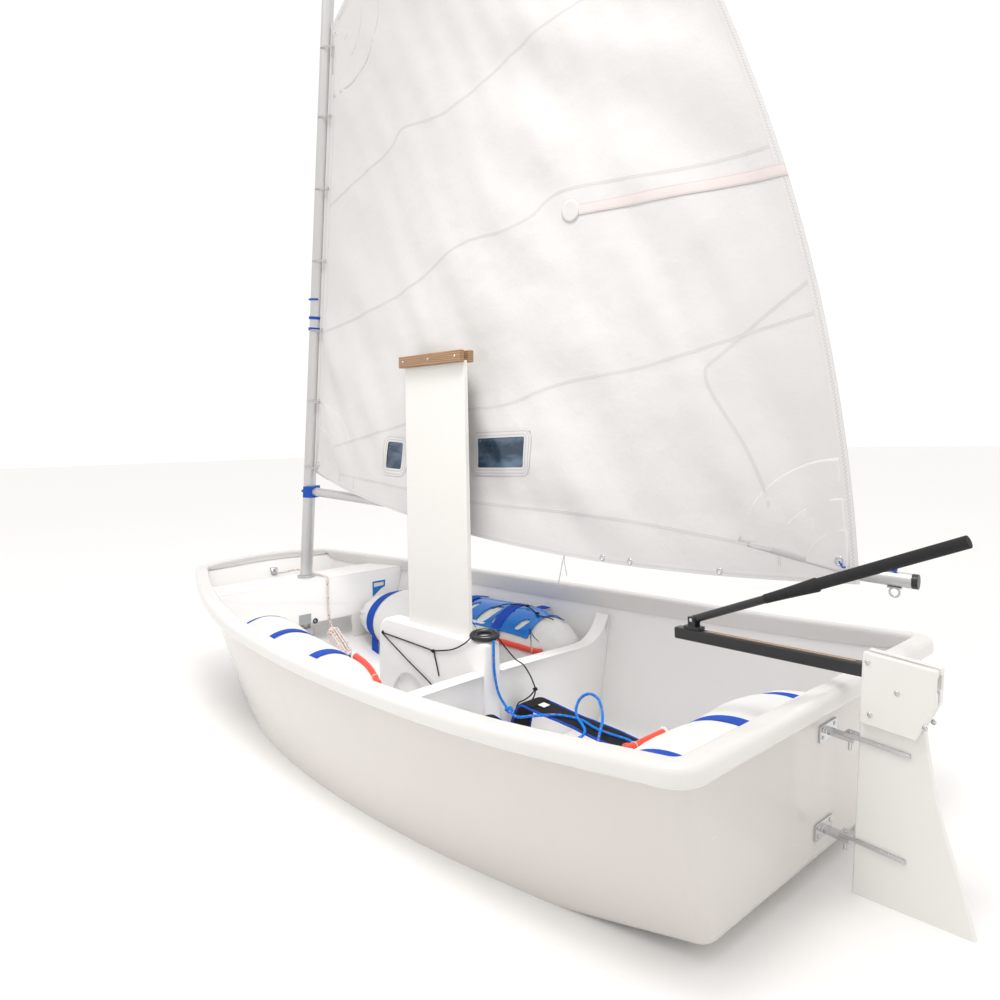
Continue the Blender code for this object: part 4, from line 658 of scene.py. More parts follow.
def rimRing():
    half, low = halfOutline(sheerPoint, hullForm["camber"]), halfOutline(chinePoint, 0.0)
    port, last = [], len(half) - 1
    for i, (p, n, c) in enumerate(zip(half, inward(half), low)):
        tall = p.z - c.z
        slope = (c - p).dot(n) / tall
        bulge = hullForm["bulge"] * 2.68 * n.y ** 2 / tall
        turn = max(0.0, 1.0 - abs(min(i, last - i) - 12.5) / 8.0)  # less depth round the tight corners
        turn = turn * turn * (3 - 2 * turn)
        back = hullForm["skin"] * math.hypot(1, slope) + rimForm["seat"] * (1 + turn)
        deep = min(rimForm["skirt"], (rimForm["reach"] - rimForm["wall"] - back) / slope) * (1 - 0.55 * turn)
        port.append((p, n, slope, bulge, deep, (bulge - slope) * deep - back))
    return port + [(Vector((p.x, -p.y, p.z)), Vector((n.x, -n.y, 0)), *rest) for p, n, *rest in port[1:-1]][::-1]


def arc(middleO, middleZ, radius, first, last, steps):
    out = []
    for k in range(steps + 1):
        a = math.radians(first + (last - first) * k / steps)
        out.append((middleO + radius * math.cos(a), middleZ + radius * math.sin(a)))
    return out


def makeRim():
    out, inn, rise, drop, lip = (rimForm[k] for k in ("out", "in", "rise", "drop", "lip"))
    points, faces = [], []
    ring = rimRing()
    for p, n, slope, bulge, deep, foot in ring:
        under = rimForm["seat"] + hullForm["skin"] * slope * 1.3
        outer = [(foot - rimForm["wall"], -deep), (-inn - 0.0004, -deep * 0.62), (-inn, -deep * 0.35)]
        outer += arc(-inn + lip, rise - lip, lip, 180, 90, 8)
        outer += arc(out - 0.015, rise - 0.015, 0.015, 90, 0, 9)
        outer += arc(out - 0.008, 0.008 - drop, 0.008, 0, -90, 6)
        outer += [(rimForm["seat"] + (bulge - slope) * drop, -drop), (rimForm["seat"], rimForm["seat"]),
                  (-hullForm["skin"] * math.hypot(1, slope) - rimForm["seat"], under), (foot, -deep)]
        points += [p - n * o + Vector((0, 0, z)) for o, z in outer]
        count = len(outer)
    for i in range(len(ring)):
        j = (i + 1) % len(ring)
        for k in range(count):
            m = (k + 1) % count
            faces.append((i * count + k, i * count + m, j * count + m, j * count + k))
    mesh = meshOf("gunwaleRoll", points, faces)
    faceOut(mesh)
    # The roll takes the darker rim copy: painted shade.
    rim = addPiece("gunwaleRoll", mesh, "rimGelcoatPaintedShade", "root")
    mesh.set_sharp_from_angle(angle=math.radians(50))
    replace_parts(rim, "gunwale")


floorLook = {"reach": 26.0, "colour": (0.93, 0.925, 0.92), "inset": 0.003}


def makeFloor(rows):
    # pale floor at the waterline, cut out where the hull stands in it
    line = []
    for i in range(len(rows[0])):
        column = [row[i] for row in rows]
        for a, b in zip(column, column[1:]):
            if a.z >= 0 > b.z:
                line.append(a.lerp(b, a.z / (a.z - b.z)))
                break
        else:
            if column[-1].z < 0:
                line.append(column[-1])
    port = [Vector((p.x, p.y - floorLook["inset"], 0)) for p in line]
    # where the chine itself dips under, the bottom panel closes the line
    xs = np.linspace(sternX + hullForm["rake"], bowX, 900)
    under = [x for x in xs if bottomHeight(x) < 0]
    ends = (under[0], under[-1])
    ring = [Vector((ends[0], 0, 0))] + [p for p in port if ends[0] < p.x < ends[1]] + [Vector((ends[1], 0, 0))]
    ring += [Vector((p.x, -p.y, 0)) for p in ring[1:-1]][::-1]
    reach = floorLook["reach"]
    points = list(ring)
    middle = Vector(((ends[0] + ends[1]) / 2, 0, 0))
    for scale in (1.15, 1.5, 2.5, 6, reach):
        for p in ring:
            away = p - middle
            points.append(middle + (away.normalized() if scale > 2 else away) * scale)
    count = len(ring)
    faces = []
    for layer in range(5):
        for i in range(count):
            j = (i + 1) % count
            faces.append((layer * count + i, layer * count + j, (layer + 1) * count + j, (layer + 1) * count + i))
    f = Finish("studioFloor")
    soft = f.cloud(f.place(), 0.8, 3)
    colour = f.mix(soft, floorLook["colour"], tuple(c * 0.99 for c in floorLook["colour"]))
    material = f.skin(colour, 0.85 + 0.05 * soft, Specular_IOR_Level=0.15)
    mesh = meshOf("studioFloor", points, faces)
    mesh.materials.append(material)
    floor = bpy.data.objects.new("studioFloor", mesh)
    bpy.context.scene.collection.objects.link(floor)
    faceOut(mesh, upward=True)


rows = makeHull()
makeRim()
makeFloor(rows)
softEdges = {"mast_thwart": 0.005, "frame_port": 0.004, "frame_starboard": 0.004, "daggerboard_case": 0.005,
             "mast_step": 0.003, "mast_collar": 0.002}
fineEdges = {"width": 0.0008, "nodes": (
    "mast", "boom", "sprit", "boom_jaws", "boom_plug", "mast_plug", "sprit_plug_low", "sprit_plug_high",
    "gudgeon_1", "gudgeon_2", "pintle_1", "pintle_2", "tiller", "rudder_blade", "rudder_cheek_port",
    "rudder_cheek_starboard", "daggerboard", "head_batten_port", "head_batten_starboard", "bailer",
    "extension_joint", "extension_tube", "extension_grip")}
roundNodes = ("boom_eye_end", "boom_eye_mid", "bow_eye", "boom_lashing", "sprit_strop", "sheet_block",
              "port_bag_tube", "starboard_bag_tube", "aft_bag_tube")
for node, width in softEdges.items():
    softenSolid(node, width, 4)
for node in fineEdges["nodes"]:
    softenSolid(node, fineEdges["width"], 2)
for node in roundNodes:
    softenSolid(node, 0)
print("hull moulded")


# Buoyancy bags: tubes of coated cloth, drawn in at their ends and held down by webbing
bagForm = {"halfWidth": 0.140, "inset": 0.105, "top": 0.284, "aftX": -0.132, "foreX": 0.757, "seam": 0.16,
           "aftTop": 0.256, "aftHalfWidth": 0.170, "aftInset": 0.180, "aftHalfLength": 0.380,
           "gap": 0.0006, "cap": 0.007, "pressure": 4.0, "slack": 0.022, "rings": 110, "around": 72}
strapForm = {"width": 0.038, "thick": 0.0018, "first": -36, "last": 126, "step": 4}
bagStraps = {"port": (0.09, 0.37, 0.65), "starboard": (0.09, 0.37, 0.65), "aft": (-0.24, 0.0, 0.24)}
sideOf = {"port": 1, "starboard": -1}


def sideInner(x, z):
    low = (x - sternX - hullForm["rake"]) / (hullForm["length"] - hullForm["rake"] - hullForm["bowRake"])
    high = (x - sternX) / hullForm["length"]
    t = (z - hullValue(4, low)) / (hullValue(2, high) - hullValue(4, low))
    return hullValue(3, low) + (hullValue(1, high) - hullValue(3, low)) * t - hullForm["skin"]


def floorHeight(x):
    return bottomHeight(x) + hullForm["skin"]


def bagSpan(which):
    if which == "aft":
        return -bagForm["aftHalfLength"], bagForm["aftHalfLength"]
    return bagForm["aftX"], bagForm["foreX"]


def bagPoint(which, s, degrees, off=0.0):  # 0 degrees faces the middle of the boat, 90 is up
    low, high = bagSpan(which)
    share = min(abs(2 * (s - low) / (high - low) - 1), 1.0)
    full = bagForm["seam"] + (1 - bagForm["seam"]) * math.sqrt(1 - share ** 5)
    a = math.radians(degrees)
    if which == "aft":
        middle = sternX + hullForm["rake"] / 2 + bagForm["aftInset"] + hullForm["skin"]
        floor = floorHeight(middle)
        half = (bagForm["aftTop"] - floor) / 2
        return Vector((middle + (bagForm["aftHalfWidth"] * full + off) * math.cos(a), s,
                       floor + half + (half * full + off) * math.sin(a)))
    floor = floorHeight(s)
    half = (bagForm["top"] - floor) / 2
    middle = sideInner(s, floor + half) - bagForm["inset"]
    return Vector((s, sideOf[which] * (middle - (bagForm["halfWidth"] * full + off) * math.cos(a)),
                   floor + half + (half * full + off) * math.sin(a)))


transomForm = {"foot": -0.018, "height": 0.36}


def transomInner(z):
    share = min(max((z - transomForm["foot"]) / transomForm["height"], 0.0), 1.0)
    return sternX + hullForm["rake"] * (1 - share) + hullForm["skin"]


def insideHull(which, p):  # keep a point off the laminate that the bag is pressed against
    gap = bagForm["gap"]
    p.z = max(p.z, floorHeight(p.x) + gap)
    wall = sideInner(p.x, p.z) - gap
    p.y = min(max(p.y, -wall), wall)
    if which == "aft":
        p.x = max(p.x, transomInner(p.z) + gap + 0.001)
    return p


def swell(piece, pressure, slack):  # cloth of a little too much size, blown up for twenty frames
    cloth = piece.modifiers.new("cloth", "CLOTH")
    rules = cloth.settings
    rules.quality, rules.mass, rules.tension_stiffness, rules.bending_stiffness = 6, 0.3, 20, 1.0
    rules.use_pressure, rules.uniform_pressure_force, rules.shrink_min = True, pressure, -slack
    rules.effector_weights.gravity = 0
    cloth.collision_settings.use_collision = False
    cloth.point_cache.frame_start, cloth.point_cache.frame_end = 1, 20
    for step in range(1, 21):
        bpy.context.scene.frame_set(step)
    swollen = piece.evaluated_get(bpy.context.evaluated_depsgraph_get()).to_mesh()
    places = [v.co.copy() for v in swollen.vertices]
    piece.modifiers.remove(cloth)
    bpy.context.scene.frame_set(1)
    return places


def makeBag(which):
    low, high = bagSpan(which)
    rings, around = bagForm["rings"], bagForm["around"]
    spots, points, faces = [], [], []
    for i in range(rings + 1):
        s = low + (high - low) * (1 - math.cos(math.pi * (0.04 + 0.92 * i / rings))) / 2
        s = low + (s - low - (high - low) * 0.00394) / (1 - 2 * 0.00394)
        for k in range(around):
            spots.append((s, 360 * k / around))
            points.append(insideHull(which, bagPoint(which, *spots[-1], -0.004)))
    for i in range(rings):
        for k in range(around):
            m = (k + 1) % around
            faces.append((i * around + k, i * around + m, (i + 1) * around + m, (i + 1) * around + k))
    for end in (0, rings):
        middle = sum((points[end * around + k] for k in range(around)), Vector()) / around
        points.append(middle)
        faces += [(len(points) - 1, end * around + k, end * around + (k + 1) % around) for k in range(around)]
    name = which + "BagCloth"
    mesh = meshOf(name, points, faces)
    faceOut(mesh)
    bag = addPiece(name, mesh, "bagFabric", "root")
    blown = swell(bag, bagForm["pressure"], bagForm["slack"])
    for i, (vertex, start, place) in enumerate(zip(mesh.vertices, points, blown)):
        if i >= len(spots):
            continue
        s, degrees = spots[i]
        move = place - start
        if move.length > bagForm["cap"]:
            move *= bagForm["cap"] / move.length
        held = max(math.exp(-((s - p) / 0.027) ** 6) for p in bagStraps[which])
        near = max(math.exp(-((s - p) / 0.055) ** 2) for p in bagStraps[which])
        if which == "starboard" and -0.06 < s < 0.36 and 48 < degrees < 132:
            held = 1.0
        end = min(s - low, high - s)
        a = math.radians(degrees)
        gather = 0.0045 * math.exp(-end / 0.045) * math.sin(17 * a + 3 * math.sin(2 * a + i * 0.0001))
        crumple = 0.0022 * noise.fractal(Vector((s * 9, math.cos(a) * 2.2, math.sin(a) * 2.2)), 0.9, 2.1, 4)
        line = bagPoint(which, s, degrees, (gather + crumple - 0.0030 * near) * (1 - held) - 0.0012 * held)
        spot = line + move * (1 - held)
        vertex.co = insideHull(which, spot)
    mesh.update()
    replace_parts(bag, which + "_bag")
    return bag


def strapRails(which, place):
    half, gap = strapForm["width"] / 2, bagForm["gap"]
    over = 0.0036 if which == "starboard" and place < 0.34 else 0.0
    rails = []
    for degrees in range(strapForm["first"], strapForm["last"] + 1, strapForm["step"]):
        here, further = (bagPoint(which, place, degrees, k) for k in (0.0, 0.1))
        rails.append([bagPoint(which, place + e * half, degrees, gap + over) for e in (-1, 1)]
                     + [(further - here).normalized()])
    first, last = rails[0], rails[-1]
    inboard = Vector((1, 0, 0)) if which == "aft" else Vector((0, -sideOf[which], 0))
    foot = []
    for f in (1.0, 0.75, 0.5, 0.25, 0.06):
        foot.append([Vector((p.x, p.y, floorHeight(p.x) + 0.0012 + (p.z - floorHeight(p.x)) * (1 - f)))
                     for p in first[:2]] + [inboard])
    head = []
    for f in (0.2, 0.5, 0.8, 1.0):
        row = []
        for p in last[:2]:
            if which == "aft":
                row.append(Vector((p.x + (transomInner(p.z) + 0.0012 - p.x) * f, p.y, p.z)))
            else:
                wall = sideOf[which] * (sideInner(p.x, p.z) - 0.0012)
                row.append(Vector((p.x, p.y + (wall - p.y) * f, p.z)))
        head.append(row + [Vector((0, 0, 1))])
    return foot + rails + head


tubeForm = {"radius": 0.009, "rise": 0.0015, "step": 0.012, "port": (54, -1, 14), "starboard": (27, -1, 14),
            "aft": (36, 1, 12), "aftStart": 0.060}


def makeTube(which, place):
    degrees, way, count = tubeForm[which]
    radius, step = tubeForm["radius"], way * tubeForm["step"]
    run = [bagPoint(which, place + step * k, degrees, radius + bagForm["gap"]) for k in range(count)]
    for k in range(3):  # the free end stands a little off the bag
        run[-1 - k] = run[-1 - k] + Vector((0, 0, tubeForm["rise"] * (3 - k)))
    tube, path, _ = ropePiece(which + "InflationTube", run, radius, "redTube", "root", 0.005, 20)
    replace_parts(tube, which + "_bag_tube")
    for name, at, wide, long, finish in (("Cap", len(path) - 1, 0.0112, 0.011, "redTube"),
                                         ("Collar", 0, 0.0125, 0.006, "bagFabric"),
                                         ("Clip", len(path) - 6, 0.0100, 0.004, "greyPlastic")):
        ahead = path[min(at + 1, len(path) - 1)] - path[max(at - 1, 0)]
        ahead = ahead / np.linalg.norm(ahead)
        spots = [path[at] + ahead * long * k for k in (-0.5, -0.35, 0.0, 0.35, 0.5)]
        fitted = ropeMesh(which + "Tube" + name, spots, np.array((0.86, 1.0, 1.0, 1.0, 0.86)) * wide, 20)
        addPiece(which + "Tube" + name, fitted, finish, "root")


for which in ("port", "starboard", "aft"):
    makeBag(which)
    for number, place in enumerate(bagStraps[which]):
        strap = band("%sStrap%d" % (which, number + 1), strapRails(which, place), "blueWebbing", "root",
                     strapForm["thick"])
        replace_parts(strap, "%s_strap_%d" % (which, number + 1))
tubeStart = bagStraps["port"][0] - strapForm["width"] / 2 - 3 * bagForm["gap"]
makeTube("port", tubeStart)
makeTube("starboard", tubeStart)
makeTube("aft", tubeForm["aftStart"])
print("bags blown up")


# Hiking straps: padded black webbing with piped edges
toeForm = {"y": 0.095, "width": 0.076, "thick": 0.005, "frontX": -0.230, "frontZ": 0.110, "backX": -0.690,
           "backZ": 0.076, "piping": 0.0034}


def toeHeight(x):
    share = min(max((toeForm["frontX"] - x) / (toeForm["frontX"] - toeForm["backX"]), 0.0), 1.0)
    return toeForm["frontZ"] + (toeForm["backZ"] - toeForm["frontZ"]) * share


def makeToeStrap(name, side):
    front, back = toeForm["frontX"], toeForm["backX"]
    corners = [(front + 0.045, floorHeight(front + 0.045) + 0.001), (front + 0.045, -0.01), (front + 0.033, 0.050),
               (front + 0.012, 0.095), (front - 0.012, toeHeight(front - 0.012))]
    corners += [(front - 0.05 * k, toeHeight(front - 0.05 * k)) for k in range(1, 9)]
    corners += [(back + 0.015, toeHeight(back + 0.015)), (back - 0.008, toeForm["backZ"] - 0.012),
                (back - 0.020, toeForm["backZ"] - 0.040), (back - 0.022, 0.0),
                (back - 0.022, floorHeight(back - 0.022) + 0.001)]
    path, _ = smoothPath([(x, side * toeForm["y"], z) for x, z in corners], 0.008)
    ahead = np.gradient(path, axis=0)
    rails = []
    half = toeForm["width"] / 2
    for i, (p, d) in enumerate(zip(path, ahead)):
        up = Vector((d[2], 0, -d[0])).normalized()
        sag = 0.0012 * noise.noise(Vector((p[0] * 22, side * 3.0, 0)))
        middle = Vector(p) + up * (sag - toeForm["thick"] / 2)
        tilt = 0.0015 * math.sin(i * 0.21 + side)
        rails.append((middle + Vector((0, -half, 0)) - up * tilt, middle + Vector((0, half, 0)) + up * tilt, up))
    strap = band(name, rails, "blackWebbing", "root", toeForm["thick"] * 0.8, 0.0016, 16)
    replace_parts(strap, "hiking_strap_port" if side > 0 else "hiking_strap_starboard")
    for edge, end in ((0, -1), (1, 1)):
        line = [row[edge] + row[2] * toeForm["thick"] * 0.4 + Vector((0, end * 0.0006, 0)) for row in rails]
        ropePiece("%sPiping%d" % (name, edge), line, toeForm["piping"], "blueWebbing", "root", 0.004, 8)
    start = next(i for i, row in enumerate(rails) if row[0].x < front + 0.004)
    flap = [(a.lerp(b, 0.04) + up * 0.0048, a.lerp(b, 0.96) + up * 0.0048, up)
            for a, b, up in rails[start - 4:start + 7]]
    band(name + "Flap", flap, "blackWebbing", "root", 0.0026, 0.0004, 10)
    if side < 0:
        label = [(a.lerp(b, 0.34) + up * 0.0082, a.lerp(b, 0.66) + up * 0.0082, up)
                 for a, b, up in rails[start + 6:start + 10]]
        band(name + "Label", label, "label", "root", 0.0006)


makeToeStrap("portToeStrap", 1)
makeToeStrap("starboardToeStrap", -1)
print("hiking straps sewn")


# Rig: the sail's own plane, u aft along the sail, v up the mast, w to port
rigForm = {"mastX": 0.85, "thwartTop": 0.341, "rake": math.radians(5.5), "swing": math.radians(8.0),
           "mastRadius": 0.0225, "boomRadius": 0.016, "boomLow": 0.325, "boomHigh": 0.395, "boomLength": 2.05,
           "spritRadius": 0.0138}
sailForm = {"tackV": 0.400, "luff": 1.640, "head": 1.240, "leech": 2.800, "clewU": 1.950, "clewV": 0.372,
            "roach": 0.170, "footDrop": 0.085, "columns": 150, "rows": 200,
            "flat": (1.985, 2.865)}


def rigPoint(v, u=0.0, w=0.0):
    up = Vector((-math.sin(rigForm["rake"]), 0, math.cos(rigForm["rake"])))
    flat = Vector((-math.cos(rigForm["swing"]), -math.sin(rigForm["swing"]), 0))
    aft = (flat - up * flat.dot(up)).normalized()
    port = aft.cross(up).normalized()
    if port.y < 0:
        port = -port
    return Vector((rigForm["mastX"], 0, rigForm["thwartTop"])) + up * v + aft * u + port * w


def sailPeak():
    x0, y0 = rigForm["mastRadius"] + 0.001, sailForm["tackV"] + sailForm["luff"]
    x1, y1 = sailForm["clewU"], sailForm["clewV"]
    span = math.hypot(x1 - x0, y1 - y0)
    a = (sailForm["head"] ** 2 - sailForm["leech"] ** 2 + span ** 2) / (2 * span)
    h = math.sqrt(sailForm["head"] ** 2 - a ** 2)
    dx, dy = (x1 - x0) / span, (y1 - y0) / span
    return x0 + a * dx - h * dy, y0 + a * dy + h * dx


peakU, peakV = sailPeak()


def sailPoint(s, t):
    u0, v0 = rigForm["mastRadius"] + 0.001, sailForm["tackV"] + sailForm["luff"]
    luff = np.array((u0, sailForm["tackV"] + (v0 - sailForm["tackV"]) * t))
    leech = np.array((sailForm["clewU"] + (peakU - sailForm["clewU"]) * t,
                      sailForm["clewV"] + (peakV - sailForm["clewV"]) * t))
    run = np.array((peakV - sailForm["clewV"], sailForm["clewU"] - peakU)) / sailForm["leech"]
    leech = leech + run * sailForm["roach"] * 4 * t * (1 - t) * (1.25 - 0.5 * t)
    place = luff * (1 - s) + leech * s
    place = place + np.array((0.0, -sailForm["footDrop"] * 4 * s * (1 - s) * (1 - t) ** 3))
    belly = 0.030 * math.sin(math.pi * min(s * 1.1, 1.0)) * (0.35 + 0.65 * (1 - t))
    clear = (rigForm["boomRadius"] + 0.006) * math.exp(-((t / 0.22) ** 2)) * min(1.0, s / 0.12)
    return place[0], place[1], belly + clear


def sailFolds(s, t, u, v):
    # shallow folds fanning down and aft from the throat, gathers at the ties and a slack foot
    edge = min(s, 1 - s, t, 1 - t)
    calm = min(1.0, edge / 0.05)
    fold = 0.0
    for k, (angle, size, pitch, shift) in enumerate(((-38, 0.010, 0.34, 0.1), (-52, 0.006, 0.21, 0.7),
                                                     (-25, 0.006, 0.27, 0.45), (-60, 0.003, 0.11, 0.2))):
        a = math.radians(angle)
        across = (u - 0.2) * math.sin(-a) + (v - 2.0) * math.cos(a)
        along = (u - 0.2) * math.cos(a) + (v - 2.0) * math.sin(a)
        wander = noise.noise(Vector((along * 0.9 + k * 7, across * 1.6, k * 3.1)))
        wave = math.sin(2 * math.pi * (across / pitch + shift + wander * 0.55))
        fold += size * wave * (0.35 + 0.65 * noise.noise(Vector((along * 1.3, across * 2.2, k * 5.0 + 2))))
    crumple = noise.fractal(Vector((u * 5.5, v * 5.5, 1.7)), 0.9, 2.1, 4)
    return calm * (fold + 0.0035 * crumple)


sailWindows = {"foreWindow": (0.455, 0.463, 0.529, 0.556, 0.02), "aftWindow": (0.853, 0.505, 1.037, 0.600, 0.12)}


def inWindow(u, v, margin=0.004):
    return any(u0 - margin < u < u1 + margin and v0 - margin < v - tilt * (u - u0) < v1 + margin
               for u0, v0, u1, v1, tilt in sailWindows.values())


def makeSail():
    columns, lines = sailForm["columns"], sailForm["rows"]
    points, uvs, cut = [], [], []
    for j in range(lines + 1):
        for i in range(columns + 1):
            s, t = i / columns, j / lines
            u, v, w = sailPoint(s, t)
            points.append(rigPoint(v, u, w + sailFolds(s, t, u, v)))
            cut.append((u, v))
    faces, shown = [], []
    for j in range(lines):
        for i in range(columns):
            a = j * (columns + 1) + i
            faces.append((a, a + 1, a + columns + 2, a + columns + 1))
            u, v = ((cut[a][k] + cut[a + columns + 2][k]) / 2 for k in (0, 1))
            if not inWindow(u, v):
                shown.append(faces[-1])
                uvs += [cut[k] for k in faces[-1]]
    area = sum(abs((cut[b][0] - cut[a][0]) * (cut[d][1] - cut[a][1])
                   - (cut[d][0] - cut[a][0]) * (cut[b][1] - cut[a][1])) for a, b, _, d in faces)
    mesh = meshOf("sailCloth", points, shown)
    layMap(mesh, uvs)
    sail = addPiece("sailCloth", mesh, "sailcloth", "rig")
    cloth = sail.modifiers.new("cloth", "SOLIDIFY")
    cloth.thickness, cloth.offset = 0.0008, 0.0
    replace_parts(sail, "sail")
    print("sail area", round(area, 3))
    return points, cut, faces, BVHTree.FromPolygons([(u, v, 0) for u, v in cut], faces)


sailPoints, sailCut, sailFaces, sailGrid = makeSail()
portSide = (rigPoint(0, 0, 1) - rigPoint(0, 0, 0)).normalized()


def sailAt(u, v, off=0.0):
    # the cloth's place and portward normal at a place of its cut
    spot, _, face, _ = sailGrid.find_nearest((u, v, 0))
    corners = sailFaces[face][:3]
    flat = [Vector((*sailCut[k], 0)) for k in corners]
    solid = [sailPoints[k] for k in corners]
    normal = (solid[1] - solid[0]).cross(solid[2] - solid[0]).normalized()
    if normal.dot(portSide) < 0:
        normal = -normal
    return barycentric_transform(spot, *flat, *solid) + normal * off, normal


def evenRun(route, step):
    # places along a route of the cut, evenly spaced, with the direction across it
    spots, _ = smoothPath([(u, v, 0) for u, v in route], step)
    ahead = np.gradient(spots, axis=0)
    ahead /= np.linalg.norm(ahead, axis=1)[:, None]
    return [(p[0], p[1], -d[1], d[0]) for p, d in zip(spots, ahead)]


def sideName(side):
    return "Port" if side > 0 else "Starboard"


def sewStrip(name, route, width, finish, lift=0.0004, thick=0.0004, sides=(1, -1), shift=0.0):
    run = evenRun(route, 0.010)
    for side in sides:
        rails = []
        for u, v, du, dv in run:
            pair = []
            for e in (shift - 0.5, shift + 0.5):
                spot, normal = sailAt(u + du * width * e, v + dv * width * e, side * lift)
                pair.append(spot)
            rails.append((*pair, normal * side))
        band(name + sideName(side), rails, finish, "rig", thick, 0.0, 4)


def sewPatch(name, outline, finish, lift=0.0005, thick=0.0005, side=1, rings=5):
    # flat patch on the cloth, its outline given in the cut
    middle = np.mean(np.array(outline), axis=0)
    count = len(outline)
    points, faces, uvs = [sailAt(*middle, side * (lift + thick))[0]], [], []
    places = [tuple(middle)]
    for ring in range(1, rings + 1):
        for corner in outline:
            place = middle + (np.array(corner) - middle) * ring / rings
            points.append(sailAt(*place, side * (lift + thick * (0.6 if ring == rings else 1.0)))[0])
            places.append(tuple(place))
    for k in range(count):  # edge turned down to the cloth
        points.append(sailAt(*outline[k], side * 0.0003)[0])
        places.append(tuple(outline[k]))
    for k in range(count):
        m = (k + 1) % count
        faces.append((0, 1 + k, 1 + m))
        for ring in range(rings):
            a, b = 1 + ring * count, 1 + (ring + 1) * count
            faces.append((a + k, b + k, b + m, a + m))
    for face in faces:
        uvs += [places[k] for k in face]
    mesh = meshOf(name, points, faces)
    layMap(mesh, uvs)
    made = addPiece(name, mesh, finish, "rig")
    if sum(p.normal.dot(portSide) * p.area for p in mesh.polygons) * side < 0:
        mesh.flip_normals()
    return made


def roundedBox(u0, v0, u1, v1, radius, tilt=0.0):
    out = []
    for cu, cv, start in ((u1 - radius, v1 - radius, 0), (u0 + radius, v1 - radius, 90),
                          (u0 + radius, v0 + radius, 180), (u1 - radius, v0 + radius, 270)):
        for k in range(7):
            a = math.radians(start + 15 * k)
            out.append((cu + radius * math.cos(a), cv + radius * math.sin(a) + tilt * (cu - u0)))
    return out


def fanPatch(u, v, reach, first, last, count=20):
    return [(u, v)] + [(u + reach * math.cos(math.radians(first + (last - first) * k / count)),
                        v + reach * math.sin(math.radians(first + (last - first) * k / count)))
                       for k in range(count + 1)]


def makeRing(name, middle, axis, radius, thick, finish, body):
    turn = Vector(axis).normalized().to_track_quat("Z", "X")
    ring = [Vector(middle) + turn @ Vector((radius * math.cos(a), radius * math.sin(a), 0))
            for a in [2 * math.pi * k / 32 for k in range(33)]]
    return addPiece(name, ropeMesh(name, ring, thick, 10, False), finish, body)


# Sewn work, read off the photograph as places (u, v) of the cut
sailSeams = {
    "throatSeam": [(0.026, 1.822), (0.109, 1.865), (0.150, 1.932), (0.175, 2.055)],
    "upperSeam": [(0.026, 1.365), (0.178, 1.440), (0.379, 1.538), (0.443, 1.602), (0.625, 1.618), (0.781, 1.689),
                  (0.913, 1.764), (1.250, 1.905), (1.560, 2.030)],
    "headSeam": [(0.300, 2.345), (0.600, 2.390), (0.900, 2.430), (1.250, 2.470)],
    "battenSeam": [(0.026, 0.905), (0.056, 0.918), (0.447, 1.037), (0.722, 1.192), (0.894, 1.223), (0.997, 1.256),
                   (1.106, 1.321), (1.444, 1.341), (1.714, 1.371), (1.800, 1.380)],
    "windowSeamAft": [(0.800, 0.680), (0.960, 0.709), (1.136, 0.776), (1.387, 0.831), (1.643, 0.914),
                      (1.865, 0.985)],
    "windowSeamFore": [(0.026, 0.466), (0.068, 0.479), (0.300, 0.548), (0.520, 0.613), (0.800, 0.680)],
    "footSeam": [(0.026, 0.425), (0.179, 0.415), (0.534, 0.409), (0.817, 0.403), (1.261, 0.425), (1.486, 0.425),
                 (1.759, 0.416)],
    "clewSeam": [(1.830, 1.060), (1.783, 1.030), (1.610, 0.877), (1.567, 0.807), (1.677, 0.649), (1.733, 0.543),
                 (1.765, 0.440), (1.775, 0.380)],
}
sewForm = {"seam": 0.011, "pocket": 0.032, "patchRadius": 0.031, "pane": 0.017, "border": 0.009,
           "borderWidth": 0.024, "eye": 0.0062, "eyeThick": 0.0022, "tie": 0.0013}
sailPocket = [(1.145, 1.262), (1.420, 1.284), (1.716, 1.309), (1.785, 1.315)]
sailCorners = (("tack", 0.030, 0.402, -14, 84), ("throat", 0.030, 2.030, -86, 42),
               ("clew", 1.930, 0.388, 96, 174), ("peak", peakU - 0.012, peakV - 0.014, 222, 292))
patchReach = (0.26, 0.17, 0.10)  # three layers at each corner, fanned between the angles above
sailEyes = (1.965, 1.712, 1.448, 1.182, 0.926, 0.664, 0.418)
footEyes = (1.309, 1.391, 1.632)


def edgeRoute(at, steps=24):
    return [sailPoint(*at(k / steps))[:2] for k in range(steps + 1)]


def windowWork():
    for name, (u0, v0, u1, v1, tilt) in sailWindows.items():
        e = sewForm["pane"]
        pane = roundedBox(u0 - e, v0 - e, u1 + e, v1 + e, 0.018, tilt)
        pane = [(p[0], p[1]) for p in evenRun(pane + pane[:1], 0.006)[:-1]]
        # Pane painted dark: painted shade and painted reflection.
        sewPatch(name, pane, "filmPaintedShadeAndReflection", -0.0003, 0.0002, 1, 16)
        e = sewForm["border"]
        around = roundedBox(u0 - e, v0 - e, u1 + e, v1 + e, 0.018, tilt)
        for side in (1, -1):
            sewStrip(name + "Border" + sideName(side), around + around[:2], sewForm["borderWidth"], "seam",
                     0.0016, 0.0005, (side,))


def cornerWork():
    for name, u, v, first, last in sailCorners:
        for layer, reach in enumerate(patchReach):
            for side in (1, -1):
                sewPatch("%sPatch%d%s" % (name, layer, sideName(side)), fanPatch(u, v, reach, first, last),
                         "sailcloth", 0.0005 + 0.0003 * layer, 0.0003, side, 8)


